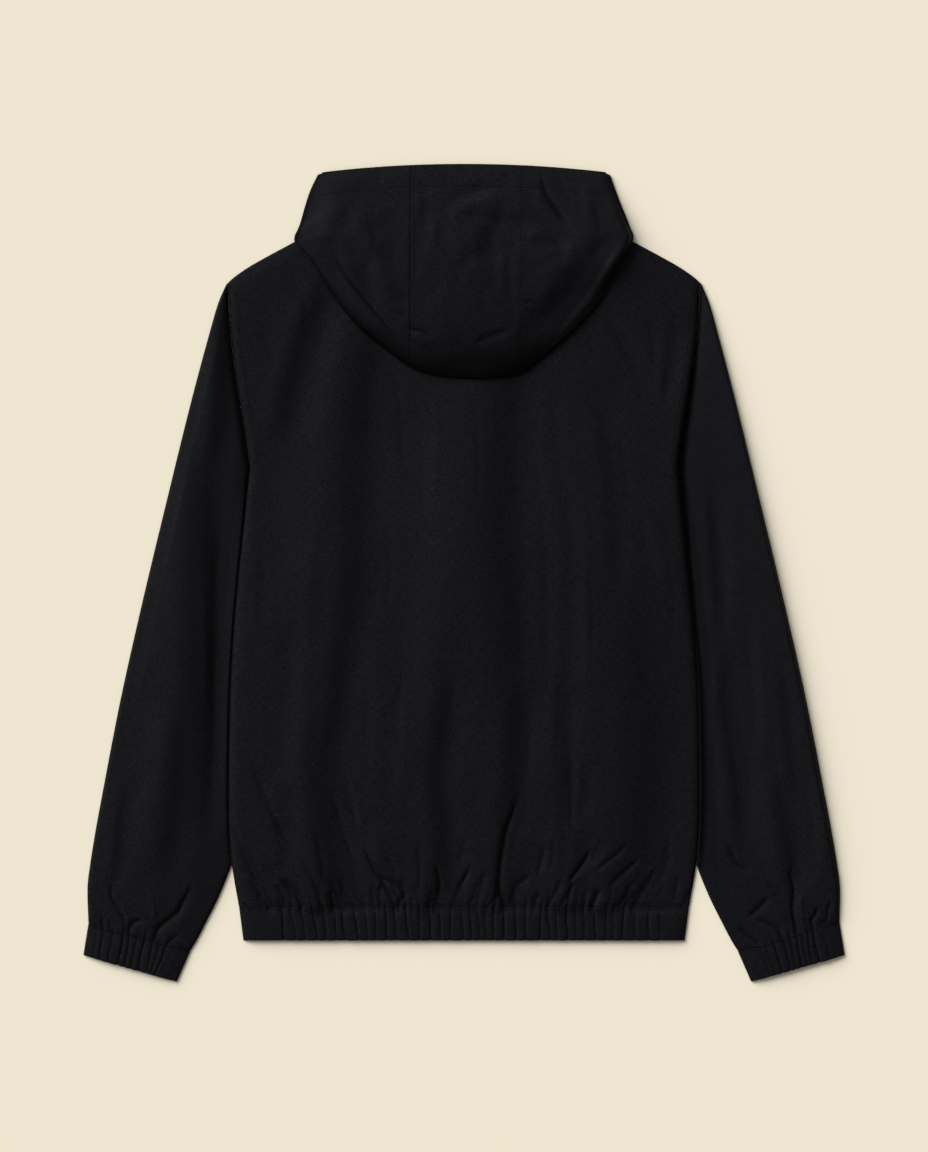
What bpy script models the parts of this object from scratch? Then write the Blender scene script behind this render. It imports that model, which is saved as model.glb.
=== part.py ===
"""Hooded windbreaker jacket, laid flat on its front with the sleeves down and the hood turned back over it.

Every cloth piece is a wall of its own, shaped through the grid of one sheet: back, two fronts, two sleeves,
two gathered cuffs, a gathered hem band and a three-panel hood. The front closes with a zip. Sizes are in
millimetres and become metres in sheet() and block(). X runs across the jacket, Y towards the hood, and Z up
from the surface that the jacket rests on.
"""

import math

import bmesh
import bpy

MM = 0.001

# Cloth and the way its layers lie on each other
WALL = 1.2  # a cloth wall
SEAM = 0.3  # gap between two pieces at a seam, and between two layers
LOW = WALL / 2  # middle of a layer that rests on the surface
STEP = WALL + SEAM  # from one layer to the next
PLUMP = 1.9  # how far the upper layer lifts off the lower one inside its edges
HIGHEST = 5.7  # the upper layer never lifts past this, so the layers stay together
ROUNDING = 13.0  # how far from an edge the cloth reaches its lift
LIFT_SHAPE = 0.6  # a power under 1: the lift is steep at both ends and flat in between
LEAST_LIFT = 0.1  # of the back over its own edge

# Body
NECK_HALF = 95.0
NECK_TOP = 372.0  # where the shoulder seam meets the neck
BACK_NECK = 353.0
FRONT_NECK = 283.0
SHOULDER_Y = 289.8
UNDERARM_Y = 104.8
BAND_TOP = -333.2
BAND_BOTTOM = -367.4
BAND_HALF_BOTTOM = 220.6
BACK_HALF = 236.0
FRONT_NECK_CURVE = 2.2  # power of the front neckline, which is flatter at the zip than a parabola

# Half the width of the body down the armhole and the side seam: (y, half width)
BODY_EDGE = (
    (289.8, 236.0),
    (258.0, 234.3),
    (224.0, 231.5),
    (192.0, 227.3),
    (165.0, 223.0),
    (132.0, 218.0),
    (104.8, 215.0),
    (86.0, 216.8),
    (58.0, 219.5),
    (26.0, 222.9),
    (-8.0, 226.3),
    (-54.0, 230.4),
    (-118.0, 234.0),
    (-183.0, 235.4),
    (-232.0, 235.5),
    (-262.0, 234.5),
    (-294.0, 231.6),
    (-333.2, 225.0),
)

# Shoulder seam from the neck to the shoulder point: (half width, y)
SHOULDER_EDGE = (
    (95.0, 372.0),
    (132.0, 351.6),
    (170.0, 330.5),
    (196.5, 316.2),
    (215.6, 305.3),
    (229.3, 295.8),
    (236.0, 289.8),
)

# Sleeve: its outer fold, and its inner fold below the point where it leaves the body (y, half width)
SLEEVE_OUTER = (
    (289.8, 236.6),
    (271.8, 244.4),
    (249.8, 251.0),
    (172.8, 271.5),
    (72.8, 296.0),
    (-27.2, 320.0),
    (-127.2, 342.5),
    (-227.2, 362.0),
    (-262.2, 368.5),
    (-293.2, 373.5),
    (-314.2, 376.0),
    (-350.0, 375.4),
)
LEAVES_BODY_Y = -292.0
SLEEVE_INNER = (
    (-292.0, 233.3),
    (-307.0, 238.0),
    (-327.0, 246.6),
    (-347.0, 256.6),
    (-367.0, 267.0),
    (-377.4, 273.4),
)
ARMHOLE_SEAM = 0.55  # between body and sleeve at the armhole
SLEEVE_CLEAR = 1.0  # between the body and the sleeve's inner fold, below the armhole
CLEAR_BY = 0.05  # share of the sleeve's length where that is reached
BOW_GONE_BY = 0.12  # share of its length where the armhole's bow has faded out
SLEEVE_LENGTH = 585.0  # along the middle of a sleeve
SLEEVE_FULLNESS = 0.9  # extra lift halfway down a sleeve

# Cuff: its four corners in plan (half width, y)
CUFF_TOP_OUTER = (375.4, -350.0)
CUFF_TOP_INNER = (273.4, -377.4)
CUFF_BOTTOM_OUTER = (380.5, -382.0)
CUFF_BOTTOM_INNER = (287.0, -408.6)

# Hood, a section for each row from the left corner of its brim round its lower fold to the right corner.
# brim_x: where the section leaves the brim; fold_x, fold_y: where it folds under;
# neck_x: where it is sewn on.
BRIM_TOP = 408.6
BRIM_BOW = 0.000415  # how the brim drops away from its middle
HOOD_SECTIONS = (
    # brim_x, fold_x, fold_y, neck_x
    (-145.4, -145.4, 399.6, -95.0),
    (-141.0, -155.0, 379.0, -92.5),
    (-136.0, -164.0, 349.0, -88.5),
    (-129.0, -169.5, 331.0, -84.0),
    (-116.0, -155.7, 311.8, -77.0),
    (-101.0, -133.0, 278.0, -69.0),
    (-84.0, -106.0, 246.0, -61.0),
    (-68.0, -80.0, 224.0, -54.0),
    (-52.5, -53.5, 205.3, -46.0),
    (-26.0, -28.0, 197.2, -24.0),
    (4.0, 2.0, 194.4, 1.0),
    (32.0, 32.0, 194.9, 25.0),
    (59.5, 58.0, 200.0, 47.0),
    (72.0, 78.0, 214.5, 54.0),
    (86.0, 103.0, 235.5, 61.0),
    (101.0, 133.0, 268.0, 69.0),
    (116.0, 151.0, 297.8, 77.0),
    (129.0, 168.7, 330.5, 84.0),
    (136.0, 163.5, 348.0, 88.5),
    (141.0, 154.5, 374.0, 92.5),
    (145.4, 145.4, 399.6, 95.0),
)
HOOD_LEFT_SEAM = 8  # row of the seam between the left panel and the middle one
HOOD_RIGHT_SEAM = 12
HOOD_LAST = len(HOOD_SECTIONS) - 1
BRIM_Z = 4.6  # middle of the top layer at the brim
ROLL = 2.3  # radius of the lower fold, to the middle of the wall
SIDE_ROLL = 1.7
HOOD_SWELL = 0.5  # extra lift of the top layer between brim and fold
HOOD_DROP_FROM = 3.0  # past the shoulder seam, where the under layer begins to come down to the surface
HOOD_DROP = 14.0  # and over what distance it does
HOOD_SIDE_FLAT = 6  # a power: the lift fades out only near the brim's corners
HOOD_FRONT_STAND = 34.0  # height of the hood's front edge above the neck seam
HOOD_FRONT_CURVE = 1.9  # how far the brim bows out between its corner and the zip
HOOD_CORNER_OUT = 8.5  # how far the hood stands off the corner where neck and shoulder seams meet
HOOD_CORNER_IN = 0.7  # the same corner of the hood's front, across the jacket
HOOD_BEND = 12.0  # how far above the shoulder seam's neck end the hood's front bends outwards
HOOD_EASE = 0.3  # extra room between the hood and the back under it
HOOD_SEAM = 0.6  # gap between two panels of the hood, and between its front and the neck seam

# Zip
FRONT_EDGE = 6.5  # from the middle to the edge of each front
CHAIN_HALF = 2.8
TAPE_INNER = 3.1
TAPE_OUTER = 16.0
TAPE_Z = (1.5, 2.5)
CHAIN_Z = (1.0, 2.6)
ZIP_TOP = 315.0
ZIP_BOTTOM = BAND_BOTTOM + 1.0
SLIDER_LENGTH = 10.0
SLIDER_HALF = 5.4
SLIDER_PLATE = 0.7
POST_LENGTH = 3.0
TAB_LENGTH = 22.0
TAB_HALF = 2.5
TAPE_RAMP = 30.0  # beside the tapes the back comes down again over this distance
SLIDER_RAMP = 40.0  # and round the slider over this one
SLIDER_CLEAR = 30.0  # how far below the zip's top the back is already clear of the slider

# Folds of the back. Each runs from one end to the other with a sideways bow in its middle; height is under
# zero for a valley, and a fold fades out at the ends whose column says 0.
BACK_FOLDS = (
    # x0, y0, x1, y1, bow, width, height, full at start, full at end
    (-152.0, 268.0, -192.0, 160.0, 4.0, 17.0, -1.1, 0, 0),
    (-92.0, 212.0, -144.0, -190.0, -12.0, 20.0, -1.6, 0, 0),
    (-72.0, 120.0, -105.0, -190.0, -8.0, 17.0, 1.1, 0, 0),
    (36.0, 175.0, 36.0, -120.0, 3.0, 20.0, -1.3, 0, 0),
    (30.0, -110.0, 48.0, -255.0, 8.0, 15.0, -1.5, 0, 0),
    (70.0, -40.0, 64.0, -235.0, 4.0, 12.0, 1.0, 0, 0),
    (92.0, 110.0, 92.0, -235.0, 8.0, 14.0, -1.1, 0, 0),
    (112.0, -195.0, 102.0, -270.0, 2.0, 13.0, 1.1, 0, 0),
    (160.0, -100.0, 170.0, -300.0, 6.0, 26.0, -0.9, 0, 0),
    (136.0, 272.0, 178.0, 200.0, 3.0, 10.0, -0.9, 0, 0),
    (-6.0, 150.0, -14.0, -220.0, 4.0, 18.0, 0.9, 0, 0),
    (-214.0, -190.0, -136.0, -322.0, -8.0, 7.0, -1.5, 0, 0),
    (-222.0, -272.0, -196.0, -333.0, 0.0, 6.0, -1.2, 0, 1),
    (-206.0, -308.0, -190.0, -335.0, 0.0, 5.0, -1.2, 0, 1),
    (-180.0, -306.0, -164.0, -335.0, 0.0, 5.0, -1.2, 0, 1),
    (-128.0, -210.0, -126.0, -252.0, 2.0, 9.0, 1.2, 0, 0),
    (-120.0, -316.0, -124.0, -335.0, 0.0, 5.0, -1.1, 0, 1),
    (-97.0, -282.0, -64.0, -335.0, -3.0, 6.0, -1.5, 0, 1),
    (-70.0, -304.0, -60.0, -335.0, 4.0, 5.0, -1.1, 0, 1),
    (-27.0, -300.0, -27.0, -335.0, 0.0, 6.0, -1.3, 0, 1),
    (1.0, -306.0, -14.0, -335.0, 0.0, 5.0, -1.1, 0, 1),
    (44.0, -248.0, 38.0, -335.0, 5.0, 6.5, -1.6, 0, 1),
    (126.0, -282.0, 104.0, -310.0, 1.0, 7.0, -1.7, 0, 0),
    (116.0, -312.0, 104.0, -335.0, 0.0, 5.0, -1.2, 0, 1),
    (96.0, -314.0, 84.0, -335.0, 0.0, 5.0, -1.1, 0, 1),
    (140.0, -322.0, 128.0, -335.0, 0.0, 5.0, -1.1, 0, 1),
    (194.0, -298.0, 168.0, -335.0, -2.0, 7.0, -1.6, 0, 1),
    (226.0, -320.0, 218.0, -335.0, 0.0, 5.0, -1.0, 0, 1),
)

# Folds of a sleeve, in shares of its width from the inner edge and of its length from the armhole:
# (across0, along0, across1, along1, width in mm, height, full at end)
LEFT_SLEEVE_FOLDS = (
    (0.30, 0.02, 0.16, 0.28, 14.0, -0.8, 0),
    (0.24, 0.38, 0.20, 0.78, 13.0, -1.2, 0),
    (0.42, 0.15, 0.40, 0.60, 14.0, 0.7, 0),
    (0.74, 0.55, 0.80, 0.90, 16.0, -0.7, 0),
    (0.85, 0.91, 0.74, 1.01, 5.5, -1.3, 1),
    (0.52, 0.94, 0.66, 1.01, 5.0, -1.4, 1),
    (0.14, 0.90, 0.40, 1.01, 6.0, -1.5, 1),
)
RIGHT_SLEEVE_FOLDS = (
    (0.26, 0.02, 0.16, 0.28, 14.0, -0.8, 0),
    (0.34, 0.48, 0.24, 0.82, 14.0, -1.2, 0),
    (0.52, 0.45, 0.46, 0.80, 13.0, 0.8, 0),
    (0.80, 0.20, 0.76, 0.60, 18.0, 0.5, 0),
    (0.20, 0.86, 0.34, 0.95, 6.5, -1.3, 0),
    (0.58, 0.91, 0.56, 1.01, 5.5, -1.3, 1),
    (0.12, 0.95, 0.24, 1.01, 5.5, -1.3, 1),
    (0.82, 0.94, 0.80, 1.01, 5.0, -1.2, 1),
)

# Folds of the hood's top layer (x0, y0, x1, y1, bow, width, height, full at start, full at end)
HOOD_FOLDS = (
    (-124.0, 314.0, -70.0, 232.0, -4.0, 9.0, -1.2, 0, 0),
    (-96.0, 372.0, -84.0, 290.0, 3.0, 20.0, 0.7, 0, 0),
    (-62.0, 246.0, -40.0, 231.0, 0.0, 6.0, -0.8, 0, 0),
    (78.0, 398.0, 104.0, 348.0, 2.0, 8.0, -1.1, 0, 0),
    (136.0, 328.0, 74.0, 250.0, 5.0, 10.0, -1.2, 0, 0),
    (26.0, 352.0, 30.0, 312.0, 0.0, 18.0, -0.7, 0, 0),
    (10.0, 230.0, 42.0, 240.0, 0.0, 7.0, -0.8, 0, 0),
)

# Gathers of the elastic on the upper side: how many, and how high they stand
BAND_GATHERS = 44
BAND_PLAIN_END = 0.058  # share of the band's width that lies flat at each side
CUFF_GATHERS = 9
CUFF_PLAIN_END = 0.20
SLEEVE_GATHERS = 5  # soft waves where the sleeve is gathered into its cuff
SLEEVE_GATHERED_FROM = 0.94  # share of the sleeve's length where they begin
SLEEVE_GATHER_HEIGHT = 0.45
GATHER_HEIGHT = 1.1
GATHER_PINCH = 0.2  # share by which a gather is lower at its seam than in the middle of the elastic
GATHER_DRIFT = (0.28, 2.4)  # how far a gather wanders from an even spacing, and the rhythm of that
GATHER_SWELL = (0.22, 1.9)  # by how much gathers differ in height, and the rhythm of that
GATHER_CREST = (0.3, 1.0)  # share of a gather's width from its valley, and share of its height
GATHER_SHOULDER = (0.66, 0.85)
CUFF_LIFT = 1.7
BAND_LIFT = 1.6

# Grids of the sheets, in columns and rows
BACK_COLUMNS = 60
ARMHOLE_ROWS = 6  # of a front or the back, down to the underarm
BODY_ROW_CROWDING = 0.85  # a power under 1: the rows below it come closer together towards the band
SLEEVE_ROW_CROWDING = 0.95
BACK_ROWS = 18
NECK_COLUMNS = 5  # along the front neck, the same for a front and for the hood's front
SHOULDER_COLUMNS = 7
FRONT_ROWS = 10
SLEEVE_TOP_COLUMNS = 20
SLEEVE_ROWS = 13
TURN_COLUMNS = 2  # round the fold of a flattened tube
LOW_COLUMNS = 6  # across the underside of a flattened tube
GATHERED_ROWS = 2
HOOD_MIDDLE_COLUMNS = 8
HOOD_POUCH_COLUMNS = 10
HOOD_TOP_ROWS = 10
HOOD_TURN_ROWS = 3
HOOD_UNDER_ROWS = 5
HOOD_ROWS = HOOD_TOP_ROWS + HOOD_TURN_ROWS + HOOD_UNDER_ROWS

CLOTH_COLOUR = (0.012, 0.012, 0.0135, 1.0)
TAPE_COLOUR = (0.010, 0.010, 0.011, 1.0)
METAL_COLOUR = (0.045, 0.045, 0.048, 1.0)


def material(name, colour, roughness, metallic=0.0):
    """A plain Principled material."""
    made = bpy.data.materials.new(name)
    made.use_nodes = True
    shader = made.node_tree.nodes["Principled BSDF"]
    shader.inputs["Base Color"].default_value = colour
    shader.inputs["Roughness"].default_value = roughness
    shader.inputs["Metallic"].default_value = metallic
    return made


def along(table, where):
    """Smooth reading of a table of (where, value) rows, with a cubic through each pair of rows."""
    rows = sorted(table)
    if where <= rows[0][0]:
        return rows[0][1]
    if where >= rows[-1][0]:
        return rows[-1][1]
    after = next(i for i, row in enumerate(rows) if row[0] > where)
    (x0, y0), (x1, y1) = rows[after - 1], rows[after]
    before_slope = slope(rows, after - 1)
    after_slope = slope(rows, after)
    t = (where - x0) / (x1 - x0)
    run = x1 - x0
    return (
        y0 * (1 + 2 * t) * (1 - t) ** 2
        + before_slope * run * t * (1 - t) ** 2
        + y1 * t * t * (3 - 2 * t)
        - after_slope * run * t * t * (1 - t)
    )


def slope(rows, i):
    """Slope of a table at one row, from its neighbours."""
    low = max(i - 1, 0)
    high = min(i + 1, len(rows) - 1)
    return (rows[high][1] - rows[low][1]) / (rows[high][0] - rows[low][0])


def blend(a, b, t):
    return a + (b - a) * t


def ease(t):
    """0 to 1 with soft ends."""
    t = min(max(t, 0.0), 1.0)
    return t * t * (3 - 2 * t)


def rise_from(distance):
    """0 at an edge, 1 well inside it."""
    return 1 - math.exp(-max(distance, 0.0) / ROUNDING)


def body_half(y):
    return along(BODY_EDGE, y)


def body_row_y(row, rows):
    """Height of a row at the body's edge: evenly down the armhole, then closer together towards the band."""
    if row <= ARMHOLE_ROWS:
        return blend(SHOULDER_Y, UNDERARM_Y, row / ARMHOLE_ROWS)
    below = (row - ARMHOLE_ROWS) / (rows - ARMHOLE_ROWS)
    return blend(UNDERARM_Y, BAND_TOP, below**BODY_ROW_CROWDING)


def armhole_half(y):
    """Half the width of the body at the armhole, straight between its rows as the panels are."""
    step = (SHOULDER_Y - UNDERARM_Y) / ARMHOLE_ROWS
    row = min(math.floor((SHOULDER_Y - y) / step), ARMHOLE_ROWS - 1)
    upper = SHOULDER_Y - row * step
    return blend(body_half(upper), body_half(upper - step), (upper - y) / step)


def neck_y(x):
    """Back neck seam, then the shoulder seam."""
    reach = abs(x)
    if reach < NECK_HALF:
        return BACK_NECK + (NECK_TOP - BACK_NECK) * (reach / NECK_HALF) ** 2
    return along(SHOULDER_EDGE, reach)


def front_neck_y(x):
    """Front neck seam, then the shoulder seam."""
    reach = abs(x)
    if reach < NECK_HALF:
        return FRONT_NECK + (NECK_TOP - FRONT_NECK) * (reach / NECK_HALF) ** FRONT_NECK_CURVE
    return along(SHOULDER_EDGE, reach)


def fold_height(x, y, fold):
    """How far one fold lifts or lowers the cloth at a point."""
    x0, y0, x1, y1, bow, width, height, full_start, full_end = fold
    run_x, run_y = x1 - x0, y1 - y0
    length = math.hypot(run_x, run_y)
    t = ((x - x0) * run_x + (y - y0) * run_y) / length**2
    if (t < 0 and not full_start) or (t > 1 and not full_end):
        return 0.0
    t = min(max(t, 0.0), 1.0)
    off = ((x - x0) * run_y - (y - y0) * run_x) / length
    off -= bow * 4 * t * (1 - t)
    fade = (1.0 if full_start else ease(3 * t)) * (1.0 if full_end else ease(3 * (1 - t)))
    return height * fade * math.exp(-((off / width) ** 2))


def armhole_lift(y):
    """How far the armhole seam lifts between the shoulder point and the underarm."""
    share = (SHOULDER_Y - y) / (SHOULDER_Y - UNDERARM_Y)
    if not 0 < share < 1:
        return 0.0
    return PLUMP * math.sin(math.pi * share) ** LIFT_SHAPE


def zip_clearance(x, y):
    """The back stays above the zip that lies under its middle, and above the zip's slider."""
    over_tape = TAPE_Z[1] + SEAM + LOW
    over_slider = CHAIN_Z[1] + 2 * SEAM + SLIDER_PLATE + LOW
    up_to_slider = ease((y - ZIP_TOP + SLIDER_CLEAR) / SLIDER_RAMP + 1)
    beside_slider = ease((abs(x) - 2 * SLIDER_HALF) / SLIDER_RAMP)
    height = blend(over_tape, over_slider, up_to_slider * (1 - beside_slider))
    return blend(height, LOW + STEP, ease((abs(x) - TAPE_OUTER) / TAPE_RAMP))


def back_z(x, y):
    """Middle of the back's wall."""
    edge = LOW + STEP
    side = body_half(y) - abs(x) if y < SHOULDER_Y else BACK_HALF
    lift = armhole_lift(y)
    inside = rise_from(side)
    from_top = rise_from(neck_y(x) - y)
    waves = sum(fold_height(x, y, fold) for fold in BACK_FOLDS)
    height = edge + blend(lift, PLUMP + waves, inside) * from_top
    return min(max(height, edge + LEAST_LIFT, zip_clearance(x, y)), HIGHEST)


def sheet(name, columns, rows, place, finish):
    """One wall of cloth: a grid whose points place(u, v) sets, in millimetres, with the wall's thickness."""
    form = bmesh.new()
    bmesh.ops.create_grid(form, x_segments=columns, y_segments=rows, size=1)
    for vertex in form.verts:
        u, v = (vertex.co.x + 1) / 2, (1 - vertex.co.y) / 2
        vertex.co = [MM * value for value in place(u, v)]
    bmesh.ops.remove_doubles(form, verts=form.verts, dist=0.01 * MM)
    bmesh.ops.dissolve_degenerate(form, edges=form.edges, dist=0.01 * MM)
    mesh = bpy.data.meshes.new(name)
    form.to_mesh(mesh)
    form.free()
    mesh.shade_smooth()
    made = bpy.data.objects.new(name, mesh)
    wall = made.modifiers.new("Wall", "SOLIDIFY")
    wall.thickness = WALL * MM
    wall.offset = 0
    return keep(made, finish)


def block(name, low, high, finish):
    """A plain block between two corners, in millimetres."""
    form = bmesh.new()
    bmesh.ops.create_cube(form, size=1)
    for vertex in form.verts:
        for axis in range(3):
            vertex.co[axis] = MM * blend(low[axis], high[axis], vertex.co[axis] + 0.5)
    mesh = bpy.data.meshes.new(name)
    form.to_mesh(mesh)
    form.free()
    return keep(bpy.data.objects.new(name, mesh), finish)


def keep(made, finish):
    made.data.materials.append(finish)
    jacket.objects.link(made)
    return made


def make_back(finish):
    """The back: neck and shoulders at its top, armholes and side seams at its sides, the band below."""

    def place(u, v):
        side = blend(-1, 1, u)
        edge_y = body_row_y(round(v * BACK_ROWS), BACK_ROWS)
        x = side * body_half(edge_y)
        down = (SHOULDER_Y - edge_y) / (SHOULDER_Y - BAND_TOP)
        y = blend(neck_y(side * BACK_HALF), BAND_TOP, down)
        return x, y, back_z(x, y)

    sheet("back", BACK_COLUMNS, BACK_ROWS, place, finish)


def make_front(name, side, finish):
    """A front: flat on the surface, from the zip to the side seam."""
    columns = NECK_COLUMNS + SHOULDER_COLUMNS

    def place(u, v):
        column = round(u * columns)
        if column <= NECK_COLUMNS:
            reach = blend(FRONT_EDGE, NECK_HALF, column / NECK_COLUMNS)
        else:
            reach = blend(NECK_HALF, BACK_HALF, (column - NECK_COLUMNS) / SHOULDER_COLUMNS)
        edge_y = body_row_y(round(v * FRONT_ROWS), FRONT_ROWS)
        x = blend(FRONT_EDGE, body_half(edge_y), (reach - FRONT_EDGE) / (BACK_HALF - FRONT_EDGE))
        down = (SHOULDER_Y - edge_y) / (SHOULDER_Y - BAND_TOP)
        return side * x, blend(front_neck_y(reach), BAND_TOP, down), LOW

    sheet(name, columns, FRONT_ROWS, place, finish)


def even_stations(count):
    """Columns across an upper side that lies plain, as (share of its width, height of a gather)."""
    return [(i / count, 0.0) for i in range(count + 1)]


def gather_stations(gathers, plain_end):
    """Columns across an upper side that elastic gathers: (share of its width, height of the gather).

    Between two plain ends, each gather has a valley, a steep side and a soft side, and no two are alike.
    """
    stations = [(plain_end * i / 3, 0.0) for i in range(3)]
    width = (1 - 2 * plain_end) / gathers
    drift, drift_rhythm = GATHER_DRIFT
    unlike, swell_rhythm = GATHER_SWELL
    starts = [plain_end + width * (i + drift * math.sin(drift_rhythm * i)) for i in range(gathers)]
    starts.append(1 - plain_end)
    for i in range(gathers):
        swell = 1 - unlike + unlike * math.sin(swell_rhythm * i)
        span = starts[i + 1] - starts[i]
        stations.append((starts[i], 0.0))
        for across, share in (GATHER_CREST, GATHER_SHOULDER):
            stations.append((starts[i] + across * span, swell * share))
    return stations + [(1 - plain_end * (3 - i) / 3, 0.0) for i in range(4)]


def gather_rise(gather, down):
    """How high a gather stands at a share of the way down its elastic."""
    return GATHER_HEIGHT * gather * (1 - GATHER_PINCH * (1 - math.sin(math.pi * down)))


def ring_point(column, stations, low_end, high_end, top):
    """A point round a flattened tube: out along its top, round the fold, and back along its flat underside.

    low_end and high_end are where the folds end in plan, top(across) the height of the upper wall's middle.
    """
    radius = STEP / 2
    run_x, run_y = high_end[0] - low_end[0], high_end[1] - low_end[1]
    length = math.hypot(run_x, run_y)
    inset = (radius + LOW) / length
    turn = 0.0
    height = LOW
    if column < len(stations):
        across, gather = stations[column]
        height = top(across, gather)
        at = blend(inset, 1 - inset, across)
    elif column < len(stations) - 1 + TURN_COLUMNS:
        turn = math.pi * (column - len(stations) + 1) / TURN_COLUMNS
        at = 1 - inset + radius * math.sin(turn) / length
        height = LOW + radius + radius * math.cos(turn)
    elif column <= len(stations) - 1 + TURN_COLUMNS + LOW_COLUMNS:
        at = blend(1 - inset, inset, (column - len(stations) + 1 - TURN_COLUMNS) / LOW_COLUMNS)
    else:
        turn = math.pi * (column - len(stations) + 1 - TURN_COLUMNS - LOW_COLUMNS) / TURN_COLUMNS
        at = inset - radius * math.sin(turn) / length
        height = LOW + radius - radius * math.cos(turn)
    return low_end[0] + run_x * at, low_end[1] + run_y * at, height


def ring_columns(stations):
    return len(stations) - 1 + 2 * TURN_COLUMNS + LOW_COLUMNS


def sleeve_ends(down):
    """The inner and the outer fold of a sleeve, at a share of its length."""
    inner_y = blend(UNDERARM_Y, CUFF_TOP_INNER[1] + SEAM, down)
    outer_y = blend(SHOULDER_Y, CUFF_TOP_OUTER[1] + SEAM, down)
    if inner_y > LEAVES_BODY_Y:
        inner_x = body_half(inner_y) + blend(ARMHOLE_SEAM, SLEEVE_CLEAR, ease(down / CLEAR_BY))
    else:
        inner_x = along(SLEEVE_INNER, inner_y)
    return (inner_x, inner_y), (along(SLEEVE_OUTER, outer_y), outer_y)


def armhole_bow(share):
    """How far the armhole seam bows out past the straight line from the underarm to the shoulder point."""
    y = blend(UNDERARM_Y, SHOULDER_Y, share)
    return armhole_half(y) - blend(body_half(UNDERARM_Y), body_half(SHOULDER_Y), share)


def make_sleeve(name, side, folds, finish):
    """A sleeve: a flattened tube from the armhole to the cuff, lying flat on its underside."""
    stations = even_stations(SLEEVE_TOP_COLUMNS)
    columns = ring_columns(stations)

    def place(u, v):
        down = v**SLEEVE_ROW_CROWDING
        inner, outer = sleeve_ends(down)
        width = math.hypot(outer[0] - inner[0], outer[1] - inner[1])
        plump = PLUMP + SLEEVE_FULLNESS * math.sin(math.pi * down) ** LIFT_SHAPE

        def top(across, _gather):
            inside = min(1.0, 8 * across * (1 - across))
            height = plump * math.sin(math.pi * across) ** LIFT_SHAPE
            for across0, along0, across1, along1, fold_width, depth, full in folds:
                start = (across0 * width, -along0 * SLEEVE_LENGTH)
                end = (across1 * width, -along1 * SLEEVE_LENGTH)
                fold = (*start, *end, 0.0, fold_width, depth, 0, full)
                height += inside * fold_height(across * width, -down * SLEEVE_LENGTH, fold)
            gathered = ease((down - SLEEVE_GATHERED_FROM) / (1 - SLEEVE_GATHERED_FROM))
            waves = math.cos(2 * math.pi * SLEEVE_GATHERS * across)
            height += inside * SLEEVE_GATHER_HEIGHT * gathered * waves
            return min(LOW + STEP + max(height, 0.0), HIGHEST)

        x, y, z = ring_point(round(u * columns), stations, inner, outer, top)
        share = min(max((y - inner[1]) / (outer[1] - inner[1]), 0.0), 1.0)
        x += (1 - ease(down / BOW_GONE_BY)) * armhole_bow(share)
        return side * x, y, z

    sheet(name, columns, SLEEVE_ROWS, place, finish)


def make_cuff(name, side, finish):
    """A cuff: a short flattened tube, gathered by its elastic on the upper side."""
    stations = gather_stations(CUFF_GATHERS, CUFF_PLAIN_END)
    columns = ring_columns(stations)

    def place(u, v):
        inner = [blend(a, b, v) for a, b in zip(CUFF_TOP_INNER, CUFF_BOTTOM_INNER)]
        outer = [blend(a, b, v) for a, b in zip(CUFF_TOP_OUTER, CUFF_BOTTOM_OUTER)]

        def top(across, gather):
            lift = CUFF_LIFT * math.sin(math.pi * across) ** LIFT_SHAPE
            return LOW + STEP + lift + gather_rise(gather, v)

        x, y, z = ring_point(round(u * columns), stations, inner, outer, top)
        return side * x, y, z

    sheet(name, columns, GATHERED_ROWS, place, finish)


def make_band(finish):
    """The hem band: from the zip round the left side, over the back and round to the zip again."""
    stations = gather_stations(BAND_GATHERS, BAND_PLAIN_END)
    columns_up = len(stations) - 1
    columns = columns_up + 2 * TURN_COLUMNS + 2 * LOW_COLUMNS
    radius = STEP / 2

    def place(u, v):
        half = blend(body_half(BAND_TOP), BAND_HALF_BOTTOM, v)
        flat = half - radius - LOW
        y = blend(BAND_TOP - SEAM, BAND_BOTTOM, v)
        column = round(u * columns)
        side = -1 if column < columns / 2 else 1
        from_zip = min(column, columns - column)
        if from_zip <= LOW_COLUMNS:
            return side * blend(FRONT_EDGE, flat, from_zip / LOW_COLUMNS), y, LOW
        if from_zip < LOW_COLUMNS + TURN_COLUMNS:
            turn = math.pi * (from_zip - LOW_COLUMNS) / TURN_COLUMNS
            return side * (flat + radius * math.sin(turn)), y, LOW + radius - radius * math.cos(turn)
        share, gather = stations[column - LOW_COLUMNS - TURN_COLUMNS]
        x = blend(-flat, flat, share)
        z = LOW + STEP + BAND_LIFT * rise_from(flat - abs(x)) + gather_rise(gather, v)
        return x, y, min(max(z, zip_clearance(x, y)), HIGHEST)

    sheet("hem_band", columns, GATHERED_ROWS, place, finish)


def hood_section(row):
    """The hood's section at a row of its table, which may lie between two rows."""
    columns = [list(enumerate(column)) for column in zip(*HOOD_SECTIONS)]
    return [along(column, row) for column in columns]


def hood_outward(row):
    """The direction, in plan, in which the hood's fold faces."""
    step = 0.05
    before = hood_section(max(row - step, 0))
    after = hood_section(min(row + step, HOOD_LAST))
    run_x, run_y = after[1] - before[1], after[2] - before[2]
    length = math.hypot(run_x, run_y)
    return run_y / length, -run_x / length


def hood_under_z(x, y):
    """Middle of the hood's under layer: on the back, and down to the surface beyond the shoulder seam."""
    beyond = y - neck_y(x)
    on_back = back_z(x, min(y, neck_y(x))) + STEP + HOOD_EASE
    return blend(on_back, LOW, ease((beyond - HOOD_DROP_FROM) / HOOD_DROP))


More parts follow.
